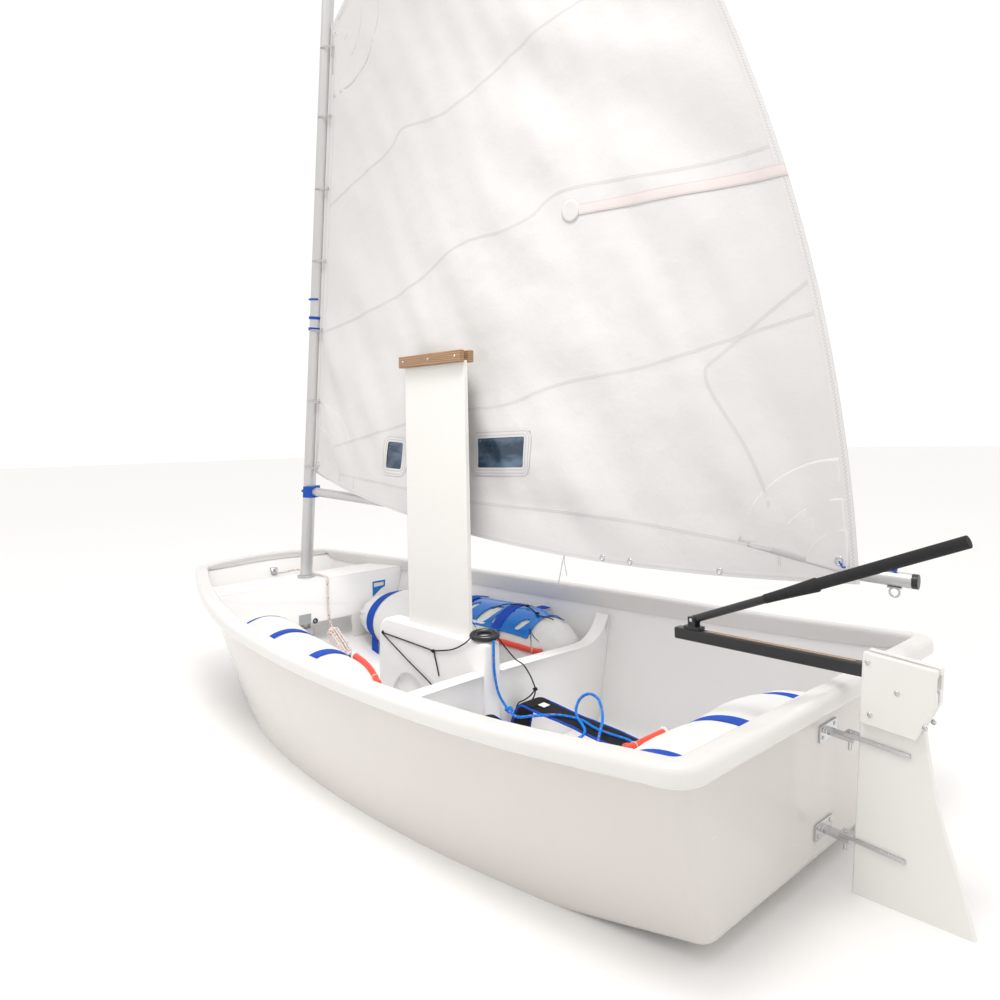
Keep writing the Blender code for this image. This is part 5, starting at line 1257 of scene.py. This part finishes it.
def luffWork():
    for k, v in enumerate(sailEyes):
        spot, normal = sailAt(0.047, v)
        makeRing("luffEye%d" % k, spot, normal, sewForm["eye"], sewForm["eyeThick"], "steel", "rig")
        tie = []
        for step in range(49):  # two turns of cord through the eye and round the mast
            a = 2 * math.pi * step / 24
            aft = 0.008 + 0.0355 * math.cos(a) if math.cos(a) > 0 else 0.008 + 0.0335 * math.cos(a)
            side = 0.0262 * math.sin(a)
            tie.append(rigPoint(v + 0.0040 * (step / 24 - 1), aft + 0.004, side))
        ropePiece("luffTie%d" % k, tie, sewForm["tie"], "tieCord", "rig", 0.003, 8)
        knot, _ = sailAt(0.043, v, 0.006)
        for e, letter in ((-1, "a"), (1, "b")):
            tail = [knot, knot + Vector((0.002, 0.003, -0.014)), knot + Vector((0.006 * e, 0.004, -0.040))]
            ropePiece("luffTieTail%d%s" % (k, letter), tail, 0.0012, "tieCord", "rig", 0.003, 6)


def makeSailWork():
    for name, route in sailSeams.items():
        sewStrip(name, route, sewForm["seam"], "seam")
    luff, leech = edgeRoute(lambda f: (0.0, f)), edgeRoute(lambda f: (1.0, f))
    foot, head = edgeRoute(lambda f: (f, 0.0)), edgeRoute(lambda f: (f, 1.0))
    for name, route, width, shift in (("luffTape", luff, 0.034, -0.5), ("leechTape", leech, 0.020, 0.5),
                                      ("footTape", foot, 0.016, 0.5), ("headTape", head, 0.030, -0.5)):
        sewStrip(name, route, width, "hem", 0.0006, 0.0005, (1, -1), shift)
    sewStrip("battenPocket", sailPocket, sewForm["pocket"], "pocket", 0.0005, 0.0030, (1,))
    reach = sewForm["patchRadius"]
    sewPatch("battenPatch", [(1.139 + reach * math.cos(a), 1.262 + reach * math.sin(a))
                             for a in [2 * math.pi * k / 28 for k in range(28)]], "sailcloth", 0.0036, 0.0006)
    windowWork()
    cornerWork()
    luffWork()
    for k, u in enumerate(footEyes):
        spot, normal = sailAt(u, sailFootV(u) + 0.012)
        makeRing("footEye%d" % k, spot, normal, sewForm["eye"], sewForm["eyeThick"], "steel", "rig")
    spot, _ = sailAt(1.189, sailFootV(1.189) + 0.008, 0.001)
    for k, (reach, drift) in enumerate(((0.085, 0.022), (0.060, -0.010))):  # tails of the slack tie at the foot
        tail = [spot, spot + Vector((drift * 0.3, 0.004, -reach * 0.4)), spot + Vector((drift, 0.003, -reach))]
        ropePiece("footTie%d" % k, tail, sewForm["tie"], "tieCord", "rig", 0.004, 6)


def sailFootV(u):
    return float(np.interp(u, [p[0] for p in footLine], [p[1] for p in footLine]))


footLine = edgeRoute(lambda f: (f, 0.0), 60)
makeSailWork()
print("sail sewn")


# Ropes, on the routes of their solids
sheetForm = {"radius": 0.0038, "coilX": -0.520, "coilY": 0.018, "coilLong": 0.060, "coilShort": 0.036,
             "turns": 13}
caseAftX = -0.185


def onToe(x, y, rise=0.0):
    return (x, y, toeHeight(x) + 0.0025 + sheetForm["radius"] + 0.0006 + rise)


def coilRun(turns, first, last):
    # turns laid beside and on each other, in three layers, each a rope's width from the next
    width = 2 * sheetForm["radius"]
    lay = [(0, k) for k in range(5)] + [(1, k + 0.5) for k in range(4)][::-1] + [(2, k) for k in range(1, 5)]
    lay = [(layer, place - 2.0) for layer, place in lay][:turns]
    rest = floorHeight(sheetForm["coilX"] - sheetForm["coilLong"]) + sheetForm["radius"] + 0.002
    run = []
    steps = 18
    for n, (layer, place) in enumerate(lay):
        after = lay[min(n + 1, len(lay) - 1)]
        for k in range(steps):
            f = k / steps
            ease = max(0.0, (f - 0.75) / 0.25)
            ease = ease * ease * (3 - 2 * ease)
            spread = (place * (1 - ease) + after[1] * ease) * width * 1.03
            height = (layer * (1 - ease) + after[0] * ease) * width * 0.9
            a = math.radians(first) + 2 * math.pi * f
            run.append((sheetForm["coilX"] + (sheetForm["coilLong"] + spread) * math.cos(a),
                        sheetForm["coilY"] + (sheetForm["coilShort"] + spread) * math.sin(a), rest + height))
    for k in range(int(((last - first) % 360) / 20) + 1):
        a = math.radians(first + 20 * k)
        layer, place = lay[-1]
        run.append((sheetForm["coilX"] + (sheetForm["coilLong"] + place * width) * math.cos(a),
                    sheetForm["coilY"] + (sheetForm["coilShort"] + place * width) * math.sin(a),
                    rest + layer * width * 0.9 + 0.002 * k))
    return run


def makeSheet():
    face = caseAftX - sheetForm["radius"] - 0.0006
    start = (face, 0.0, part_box("mainsheet")[1].z)
    down = [start, (face, 0.0, start[2] - 0.010), (face, 0.0, start[2] - 0.024), (face - 0.001, 0.0, 0.205),
            (face - 0.010, -0.004, 0.150), (face - 0.026, -0.012, 0.118), (face - 0.056, -0.006, 0.106),
            (-0.285, 0.005, 0.104), (-0.325, -0.022, 0.110), onToe(-0.360, -0.066, 0.002), onToe(-0.395, -0.092),
            onToe(-0.430, -0.098), onToe(-0.480, -0.088), onToe(-0.530, -0.092), onToe(-0.580, -0.100),
            onToe(-0.612, -0.082), onToe(-0.634, -0.059, 0.002), (-0.645, -0.046, 0.081), (-0.642, -0.032, 0.062),
            (-0.625, -0.015, 0.030)]
    coil = coilRun(sheetForm["turns"], 205, 100)
    tail = [(-0.545, 0.060, 0.010), (-0.545, 0.020, 0.050), (-0.549, -0.008, 0.092), (-0.538, -0.040, 0.122),
            (-0.520, -0.070, 0.136), (-0.498, -0.094, 0.152), (-0.472, -0.110, 0.168), (-0.444, -0.110, 0.174),
            (-0.424, -0.098, 0.162), (-0.422, -0.080, 0.140), (-0.438, -0.066, 0.122), (-0.462, -0.056, 0.114),
            (-0.486, -0.040, 0.106), (-0.492, -0.020, 0.100), (-0.482, -0.004, 0.092)]
    piece, path, length = ropePiece("mainsheetRope", down + coil + tail, sheetForm["radius"], "sheetRope", "root",
                                    0.0045, 8)
    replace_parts(piece, "mainsheet", "mainsheet_coil", "mainsheet_tail")
    print("mainsheet", round(length, 3), "m")
    tuple(path[0])
    [tuple(p) for p in path]


painterForm = {"radius": 0.004, "side": -0.0425, "top": 0.3458, "edge": 0.7702, "eyeZ": 0.331, "startX": 1.074,
               "tail": ((0.625, 0.0222, 0.0100), (0.590, 0.022, 0.0076), (0.550, 0.020, 0.0076),
                        (0.515, 0.016, 0.0076))}


def hankRun():
    # fifteen folds of rope laid side by side, each bight wider than three diameters
    head = Vector((0.7482, painterForm["side"], 0.156))
    foot = Vector((0.632, painterForm["side"], floorHeight(0.632) + 0.0185))
    down = foot - head
    reach = down.length
    down.normalize()
    out = Vector((-down.z, 0, down.x))
    if out.z < 0:
        out = -out
    lanes = []
    for layer in range(4):
        lanes += [(-0.016, layer), (0.006, layer)]
    for layer in (3, 2, 1, 0):
        lanes += [(0.016, layer), (-0.006, layer)]
    run = []
    for k, (across, layer) in enumerate(lanes[:15]):
        lift = (layer - 1.5) * 0.0082
        wander = [noise.noise(Vector((k * 3.7, f, 1.0))) * 0.0018 for f in (0.0, 1.0)]
        ends = (0.10 + 0.05 * (k % 3) / 2, 0.90 - 0.05 * ((k + 1) % 3) / 2)
        for f in (ends if k % 2 == 0 else ends[::-1]):
            swell = wander[0 if f < 0.5 else 1]
            run.append(head + down * reach * f + Vector((0, across + swell, 0)) + out * lift)
            if f == ends[0] and k % 2 == 0 or f == ends[1] and k % 2:
                run.append(head + down * reach * 0.5 + Vector((0, across * 1.05 - swell, 0))
                           + out * (lift + swell))
        if k < 14:
            turn = ends[1] + 0.085 if k % 2 == 0 else ends[0] - 0.085
            after = lanes[k + 1]
            middle = (across + after[0]) / 2
            run.append(head + down * reach * turn + Vector((0, middle, 0))
                       + out * ((lift + (after[1] - 1.5) * 0.0082) / 2))
    return run


def makePainter():
    side, top, edge = painterForm["side"], painterForm["top"], painterForm["edge"]
    x, eyeZ = painterForm["startX"], painterForm["eyeZ"]
    route = [(x - 0.002, -0.002, eyeZ), (x - 0.030, -0.008, eyeZ + 0.004), (0.98, side * 0.8, top + 0.004),
             (0.92, side, top), (0.85, side - 0.001, top), (0.797, side, top + 0.0005),
             (0.780, side, top + 0.0008), (edge + 0.0002, side, top), (edge - 0.0012, side, 0.335),
             (edge - 0.001, side, 0.301),
             (edge - 0.001, side - 0.002, 0.240), (edge - 0.001, side - 0.006, 0.195),
             (edge - 0.006, side - 0.012, 0.165)]
    tail = [(x, side - off, floorHeight(x) + lift) for x, off, lift in painterForm["tail"]]
    piece, path, length = ropePiece("painterRope", route + hankRun() + tail, painterForm["radius"], "painterRope",
                                    "root", 0.004, 9)
    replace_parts(piece, "painter", "painter_hank")
    print("painter", round(length, 3), "m")
    tuple(path[0])
    [tuple(p) for p in path]


makeSheet()
makePainter()
print("ropes laid")


# Small fittings: ring, elastic, bailer, screws, pennant, tiller and rig cordage
def makeKnot(name, place, reach, thick, finish, body, twist=0.0):
    # overhand knot: a trefoil drawn tight
    spots = []
    for k in range(61):
        a = 2 * math.pi * k / 60 + twist
        spots.append(Vector(place) + Vector((math.sin(a) + 2 * math.sin(2 * a), math.cos(a) - 2 * math.cos(2 * a),
                                             -1.25 * math.sin(3 * a))) * (reach / 3.0))
    return addPiece(name, ropeMesh(name, spots, thick, 8, False), finish, body)


frameForm = {"x": -0.160, "thick": 0.030, "flange": 0.050, "wall": 0.005,
             "top": ((0.0330, 0.1985), (0.150, 0.1975), (0.270, 0.1950), (0.360, 0.1925), (0.415, 0.1950),
                     (0.452, 0.2080), (0.480, 0.2300), (0.500, 0.2550), (0.508, 0.2720)),
             "corner": (0.500, 0.150, 0.033)}


def makeFrameFlange(which):
    # rounded moulded flange that caps a frame, and the panel that carries it
    side, x = sideOf[which], frameForm["x"]
    route, _ = smoothPath([(x, side * y, z) for y, z in frameForm["top"]], 0.008)
    ahead = np.gradient(route, axis=0)
    rails, half = [], frameForm["flange"] / 2
    for p, d in zip(route, ahead):
        up = Vector((0, -d[2], d[1])).normalized() * side
        spot = Vector(p) - up * frameForm["wall"] / 2
        rails.append((spot + Vector((half - 0.001, 0, 0)), spot - Vector((half, 0, 0)), up))
    # Flange and panel take the brighter inside gelcoat copy: painted light.
    flange = band(which + "FrameFlange", rails, "insideGelcoatPaintedLight", "root", frameForm["wall"], 0.0012, 12)
    edge = flange.modifiers.new("edge", "BEVEL")
    edge.width, edge.segments, edge.limit_method = 0.002, 3, "ANGLE"
    low = [(p[1], p[2] - 0.004) for p in route]
    outer, foot, inner = frameForm["corner"]
    outline = low + [(side * outer, foot), (side * inner, foot)]
    outline = [(side * min(abs(y), sideInner(x, z) - 0.002), z) for y, z in outline]
    panel = frameForm["thick"] + 0.0006
    makePlate(which + "FramePanel", outline, lambda y, z, off: Vector((x - panel / 2 + off, y, z)), panel,
              "insideGelcoatPaintedLight", "root")


ringForm = {"long": 0.0310, "short": 0.0170, "thick": 0.0086, "ends": 0.004, "deep": 0.0092, "turn": 43,
            "tilt": -24, "steps": 64, "round": 20}


def makeBlockRing():
    low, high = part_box("sheet_block")
    turn = (Matrix.Rotation(math.radians(ringForm["turn"]), 4, "Z")
            @ Matrix.Rotation(math.radians(ringForm["tilt"]), 4, "X"))
    long, short, steps, sides = (ringForm[k] for k in ("long", "short", "steps", "round"))
    points, faces = [], []
    for k in range(steps):
        a = 2 * math.pi * k / steps
        out = Vector((math.cos(a) * short, math.sin(a) * long, 0)).normalized()
        thick = ringForm["thick"] + ringForm["ends"] * abs(math.cos(a)) ** 3  # deepest at its ends
        for m in range(sides):
            b = 2 * math.pi * m / sides
            spot = Vector((long * math.cos(a), short * math.sin(a), 0)) + out * thick * math.cos(b)
            points.append(turn @ (spot + Vector((0, 0, ringForm["deep"] * math.sin(b)))))
    for k in range(steps):
        here, after = k * sides, (k + 1) % steps * sides
        for m in range(sides):
            n = (m + 1) % sides
            faces.append((here + m, after + m, after + n, here + n))
    lift = Vector(((low.x + high.x) / 2 - 0.002, (low.y + high.y) / 2, low.z + 0.0006 - min(p.z for p in points)))
    mesh = meshOf("sheetRing", [p + lift for p in points], faces)
    faceOut(mesh)
    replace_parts(addPiece("sheetRing", mesh, "glossBlack", "root"), "sheet_block")
    makeKnot("sheetKnot", (-0.2380, -0.0090, 0.1080), 0.0095, 0.0038, "sheetRope", "root", 0.4)


elasticForm = {"side": 0.0335, "thick": 0.0020, "knot": 0.0058}


def makeElastic():
    side = elasticForm["side"]
    runs = {
        "elasticFore": [(0.306, 0.0300, 0.2346), (0.300, side, 0.2344), (0.170, side, 0.2300),
                        (0.040, side + 0.001, 0.2255)],
        "elasticRing": [(0.040, side + 0.001, 0.2255), (-0.045, 0.036, 0.245), (-0.100, 0.0375, 0.270),
                        (-0.128, 0.0365, 0.290), (-0.1385, 0.031, 0.3030)],
        "elasticDrop": [(0.038, side + 0.001, 0.2220), (0.028, side, 0.190), (0.017, side, 0.156)],
        "elasticLow": [(0.306, 0.0300, 0.2335), (0.296, side + 0.003, 0.2310), (0.170, side + 0.004, 0.176),
                       (0.050, side + 0.001, 0.1225), (0.040, side, 0.098), (0.038, side, 0.060),
                       (0.037, side, 0.005), (0.037, side, floorHeight(0.037) + 0.003)],
        "elasticAft": [(-0.178, -0.008, 0.3020), (-0.190, -0.022, 0.2880), (-0.197, -0.040, 0.262),
                       (-0.205, -0.070, 0.226), (-0.209, -0.096, 0.206), (-0.213, -0.118, 0.172),
                       (-0.218, -0.130, 0.140), (-0.219, -0.132, 0.130)],
        "elasticLegOuter": [(-0.219, -0.132, 0.131), (-0.217, -0.132, 0.118), (-0.214, -0.128, 0.1065),
                            (-0.204, -0.126, 0.092)],
        "elasticLegInner": [(-0.219, -0.132, 0.131), (-0.221, -0.112, 0.120), (-0.221, -0.085, 0.1125),
                            (-0.214, -0.070, 0.1075), (-0.204, -0.069, 0.092)],
    }
    for name, route in runs.items():
        ropePiece(name, route, elasticForm["thick"], "shockCord", "root", 0.003, 8)
    for k, place in enumerate(((0.040, side + 0.002, 0.2255), (-0.219, -0.132, 0.131))):
        makeKnot("elasticKnot%d" % k, place, elasticForm["knot"], 0.0021, "shockCord", "root", 0.7 * k)
    makeRing("elasticHole", (0.306, 0.0312, 0.2342), (0, 1, 0), 0.0052, 0.0016, "blackPlastic", "root")
    makeRing("elasticSaddle", (0.037, side, floorHeight(0.037) + 0.005), (1, 0, 0), 0.0042, 0.0013, "steel", "root")


bailerForm = {"aft": -0.036, "fore": 0.336, "low": 39.0, "high": 127.0, "gap": 0.0010, "wall": 0.0030,
              "slots": ((0.152, 60.0, 0.024, 0.040), (0.094, 60.0, 0.018, 0.036), (0.006, 56.0, 0.012, 0.026),
                        (0.245, 62.0, 0.014, 0.036))}


bailerCords = {  # finish, radius, and places along the bag, degrees round it and height off it
    "bailerCordA": ("blueRope", 0.0016, [(0.225, 56, 0.007), (0.200, 44, 0.007), (0.170, 36, 0.004),
                                         (0.150, 30, 0.004)]),
    "bailerCordB": ("shockCord", 0.0018, [(0.150, 66, 0.007), (0.120, 78, 0.0105), (0.075, 84, 0.0105),
                                          (0.045, 88, 0.0075), (0.010, 84, 0.0070), (-0.020, 78, 0.0085),
                                          (-0.046, 84, 0.0095), (-0.056, 92, 0.004)]),
    "bailerCordC": ("shockCord", 0.0011, [(-0.030, 52, 0.009), (-0.044, 44, 0.0075), (-0.052, 34, 0.003),
                                          (-0.058, 22, 0.003), (-0.060, 8, 0.003)]),
    "bailerCordD": ("shockCord", 0.0011, [(-0.030, 52, 0.009), (-0.050, 46, 0.006), (-0.080, 40, 0.004),
                                          (-0.104, 30, 0.004), (-0.110, 10, 0.004)]),
}


def bailerPlace(x, degrees, off=0.0):
    # curved like the bag below it, its aft lip rolled up and a rib along each edge
    rim = math.exp(-((x - bailerForm["aft"]) / 0.010) ** 2) * 0.0035
    edge = min(degrees - bailerForm["low"], bailerForm["high"] - degrees)
    rib = 0.0022 * math.exp(-(edge / 2.5) ** 2)
    return bagPoint("starboard", x, degrees, bailerForm["gap"] + rim + rib + off)


def offBag(x, degrees):  # straight off the starboard bag
    return (bagPoint("starboard", x, degrees, 0.1) - bagPoint("starboard", x, degrees, 0.0)).normalized()


def makeBailer():
    across, along, wall = 84, 170, bailerForm["wall"]
    aft, low = bailerForm["aft"], bailerForm["low"]
    spots = [[(aft + (bailerForm["fore"] - aft) * i / along, low + (bailerForm["high"] - low) * k / across)
              for k in range(across + 1)] for i in range(along + 1)]
    arm = 0.150 * math.pi / 180

    def slotDepth(x, degrees):  # below 1 inside a slot
        best = (9.0, None)
        for middle, angle, halfX, halfA in bailerForm["slots"]:
            dy = (degrees - angle) * arm
            dx = x - middle + dy * 0.42
            depth = (abs(dx / halfX) ** 3 + abs(dy / halfA) ** 3) ** (1 / 3)
            if depth < best[0]:
                best = (depth, (middle, angle))
        return best

    points, index, faces = [], {}, []
    for i, row in enumerate(spots):
        for k, (x, degrees) in enumerate(row):
            depth, middle = slotDepth(x, degrees)
            if 0.82 < depth < 1.16:  # lip of a slot
                x, degrees = middle[0] + (x - middle[0]) / depth, middle[1] + (degrees - middle[1]) / depth
            index[i, k] = (len(points), depth)
            points.append(bailerPlace(x, degrees, wall / 2))
    for i in range(along):
        for k in range(across):
            corners = [(i, k), (i, k + 1), (i + 1, k + 1), (i + 1, k)]
            if sum(index[c][1] for c in corners) / 4 > 0.99:
                faces.append([index[c][0] for c in corners])
    mesh = meshOf("bailerScoop", points, faces)
    bm = bmesh.new()
    bm.from_mesh(mesh)
    bmesh.ops.delete(bm, geom=[v for v in bm.verts if not v.link_faces], context="VERTS")
    bm.to_mesh(mesh)
    bm.free()
    scoop = addPiece("bailerScoop", mesh, "bluePlastic", "root")
    skin = scoop.modifiers.new("skin", "SOLIDIFY")
    skin.thickness, skin.offset = wall, 0.0
    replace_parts(scoop, "bailer")
    for name, (finish, thick, route) in bailerCords.items():
        ropePiece(name, [bagPoint("starboard", x, a, off) for x, a, off in route], thick, finish, "root", 0.003, 8)
    for k, (x, a) in enumerate(((0.045, 88), (-0.014, 80))):
        makeKnot("bailerKnot%d" % k, bagPoint("starboard", x, a, 0.0115), 0.0048, 0.0018, "shockCord", "root",
                 0.9 * k)
    rails = [[bagPoint("starboard", 0.262, a, 0.0072), bagPoint("starboard", 0.296, a, 0.0072),
              offBag(0.279, a)] for a in range(44, 100, 4)]
    band("bailerPatch", rails, "blueWebbing", "root", 0.0018)
    start = bagPoint("starboard", 0.094, 27, 0.0105)
    out = offBag(0.094, 27)
    plug = [start + out * k for k in (-0.004, -0.001, 0.004, 0.008, 0.010)]
    valve = ropeMesh("bagValve", plug, np.array((1.25, 1.25, 1.0, 1.0, 0.8)) * 0.009, 20)
    addPiece("bagValve", valve, "valveGreen", "root")


screwForm = {"profile": ((1.0, 0.0), (1.0, 0.10), (0.93, 0.24), (0.72, 0.38), (0.42, 0.46), (0.16, 0.49)),
             "battens": (-0.075, 0.052, 0.179), "battenZ": 1.099, "pads": (0.0989, 0.2889), "padX": -1.1214,
             "padSlope": -0.0904, "cheeks": ((-1.235, 0.345), (-1.330, 0.345), (-1.235, 0.440), (-1.285, 0.395))}


def makeScrew(name, place, axis, reach, body):
    # domed head with a cross slot, standing on its plate
    turn = Vector(axis).normalized().to_track_quat("Z", "X")
    points, faces = [], []
    profile = screwForm["profile"]
    for radius, rise in profile:
        for k in range(24):
            a = 2 * math.pi * k / 24
            dip = 0.26 if radius < 0.6 and (k % 6 == 0) else 0.0
            spot = Vector((radius * math.cos(a), radius * math.sin(a), rise - dip))
            points.append(Vector(place) + turn @ spot * reach)
    for ring in range(len(profile) - 1):
        for k in range(24):
            m = (k + 1) % 24
            faces.append((ring * 24 + k, ring * 24 + m, (ring + 1) * 24 + m, (ring + 1) * 24 + k))
    faces += [list(range(24))[::-1], [len(points) - 24 + k for k in range(24)]]
    mesh = meshOf(name, points, faces)
    faceOut(mesh)
    addPiece(name, mesh, "steel", body)


def makeScrews():
    rows = []
    for x in screwForm["battens"]:
        for side in (1, -1):
            rows.append(((x, side * 0.0278, screwForm["battenZ"]), (0, side, 0), 0.0042, "daggerboard"))
    slope = screwForm["padSlope"]
    for middle in screwForm["pads"]:  # the gudgeons' pads, on the raked transom
        for dy in (-0.024, 0.024):
            for dz in (-0.008, 0.008):
                z = middle + dz
                rows.append(((screwForm["padX"] + slope * z, dy, z), (-1, 0, slope), 0.0040, "root"))
    for x, z in screwForm["cheeks"]:
        for side in (1, -1):
            rows.append(((x, side * 0.0203, z), (0, side, 0), 0.0050, "rudder"))
    for k, (place, axis, reach, body) in enumerate(rows):
        makeScrew("screw%02d" % k, place, axis, reach, body)


def makePlate(name, outline, place, thick, finish, body):
    # flat piece: outline points turned into the boat's frame by place(a, b, off)
    count = len(outline)
    points = [place(a, b, 0.0) for a, b in outline] + [place(a, b, thick) for a, b in outline]
    faces = [list(range(count)), list(range(count, 2 * count))]
    faces += [(k, (k + 1) % count, count + (k + 1) % count, count + k) for k in range(count)]
    mesh = meshOf(name, points, faces)
    faceOut(mesh)
    return addPiece(name, mesh, finish, body, False)


wallPlates = {  # on the thwart's wall: finish, distance off it, thickness, outline as y and z
    "pennant": ("bluePlastic", 0.0004, 0.0005, [(-0.245, 0.297), (-0.305, 0.297), (-0.303, 0.272), (-0.286, 0.266),
                                                (-0.2455, 0.238)]),
    "pennantBlank": ("label", 0.0010, 0.0003, [(-0.251, 0.290), (-0.297, 0.290), (-0.296, 0.277),
                                               (-0.252, 0.275)]),
    "archPatch": ("greyPlastic", 0.0004, 0.0012, [(0.073, 0.222), (0.024, 0.222), (0.024, 0.188), (0.073, 0.188)]),
}


def makeFlags():
    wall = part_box("mast_thwart")[0].x
    for name, (finish, gap, thick, outline) in wallPlates.items():
        makePlate(name, outline, lambda y, z, off: Vector((wall - gap - off, y, z)), thick, finish, "root")
    makeRing("archRing", (wall - 0.0035, 0.008, 0.192), (1, 0, 0), 0.0075, 0.0026, "blackPlastic", "root")


tillerForm = {"lineZ": 0.4327, "lineHalf": 0.0052, "lineX": (-1.205, -0.885), "pin": (-0.85, 0.0125, 0.454),
              "gripBase": (-1.1265, 0, 0.5625), "gripTip": (-1.4105, 0, 0.6725), "gripSpan": (-0.36, 0.03),
              "gripRadius": 0.0096, "gripSwell": 0.0046}


def makeTillerWork():
    half, z = tillerForm["lineHalf"], tillerForm["lineZ"]
    line = [((x, -half, z), (x, half, z), (0, 0, 1)) for x in np.linspace(*tillerForm["lineX"], 24)]
    band("tillerLine", line, "tan", "rudder", 0.0007)
    x, half, z = tillerForm["pin"]
    for side in (1, -1):
        makeScrew("jointPin%d" % (side + 1), (x, side * half, z), (0, side, 0), 0.0042, "rudder")
    base, tip = Vector(tillerForm["gripBase"]), Vector(tillerForm["gripTip"])
    spots = [base.lerp(tip, f) for f in np.linspace(*tillerForm["gripSpan"], 16)]
    reach = [tillerForm["gripRadius"] + tillerForm["gripSwell"] * (k / 15) ** 1.4 for k in range(16)]
    addPiece("gripTaper", ropeMesh("gripTaper", spots, np.array(reach), 28), "foam", "extension")


cordForm = {"clewEye": (1.905, 0.415), "tie": 0.0018, "outhaul": 0.0019, "wraps": (0.926, 0.967), "wrapTurns": 3,
            "wrapRadius": 0.0250, "wrapPitch": 0.0036}
cornerEyes = {"tackEye": (0.052, 0.432), "throatEye": (0.055, 2.005), "peakEye": (peakU - 0.030, peakV - 0.045)}


def boomSpot(u, off=0.0, turn=0.0, reach=0.016):
    v = rigForm["boomLow"] + (rigForm["boomHigh"] - rigForm["boomLow"]) * u / rigForm["boomLength"]
    return rigPoint(v + off + reach * math.cos(turn), u, reach * math.sin(turn))


def wrap(name, u, turns, reach, thick, finish):
    spots = [boomSpot(u + 0.0042 * (k / 16 - turns / 2) * (thick / 0.0018), 0.0, 2 * math.pi * k / 16, reach)
             for k in range(16 * turns + 1)]
    ropePiece(name, spots, thick, finish, "rig", 0.003, 8)


def makeRigCords():
    spot, normal = sailAt(*cordForm["clewEye"])
    makeRing("clewEye", spot, normal, 0.0085, 0.0030, "steel", "rig")
    wrap("clewTie", 1.900, 3, 0.0182, cordForm["tie"], "blueRope")
    tie = [spot + normal * 0.004, spot + Vector((-0.010, 0.006, -0.012)), boomSpot(1.925, 0.004, 0.9, 0.0195),
           boomSpot(1.970, 0.0, 0.5, 0.0195), boomSpot(2.015, 0.0, 0.2, 0.0185)]
    ropePiece("outhaul", tie, cordForm["outhaul"], "blueRope", "rig", 0.003, 8)
    makeKnot("outhaulKnot", boomSpot(2.015, 0.0, 0.2, 0.0205), 0.0048, cordForm["outhaul"], "blueRope", "rig")
    for name, place in cornerEyes.items():
        spot, normal = sailAt(*place)
        makeRing(name, spot, normal, 0.0080, 0.0028, "steel", "rig")
    reach = cordForm["wrapRadius"]
    for k, v in enumerate(cordForm["wraps"]):  # two windings of cord below the sprit's heel
        spots = []
        for step in range(cordForm["wrapTurns"] * 18 + 1):
            a = 2 * math.pi * step / 18
            spots.append(rigPoint(v + cordForm["wrapPitch"] * step / 18, reach * math.cos(a), reach * math.sin(a)))
        ropePiece("mastWrap%d" % k, spots, cordForm["tie"], "blueRope", "rig", 0.004, 8)


for which in ("port", "starboard"):
    makeFrameFlange(which)
makeBlockRing()
makeElastic()
makeBailer()
makeScrews()
makeFlags()
makeTillerWork()
makeRigCords()
print("fittings placed")
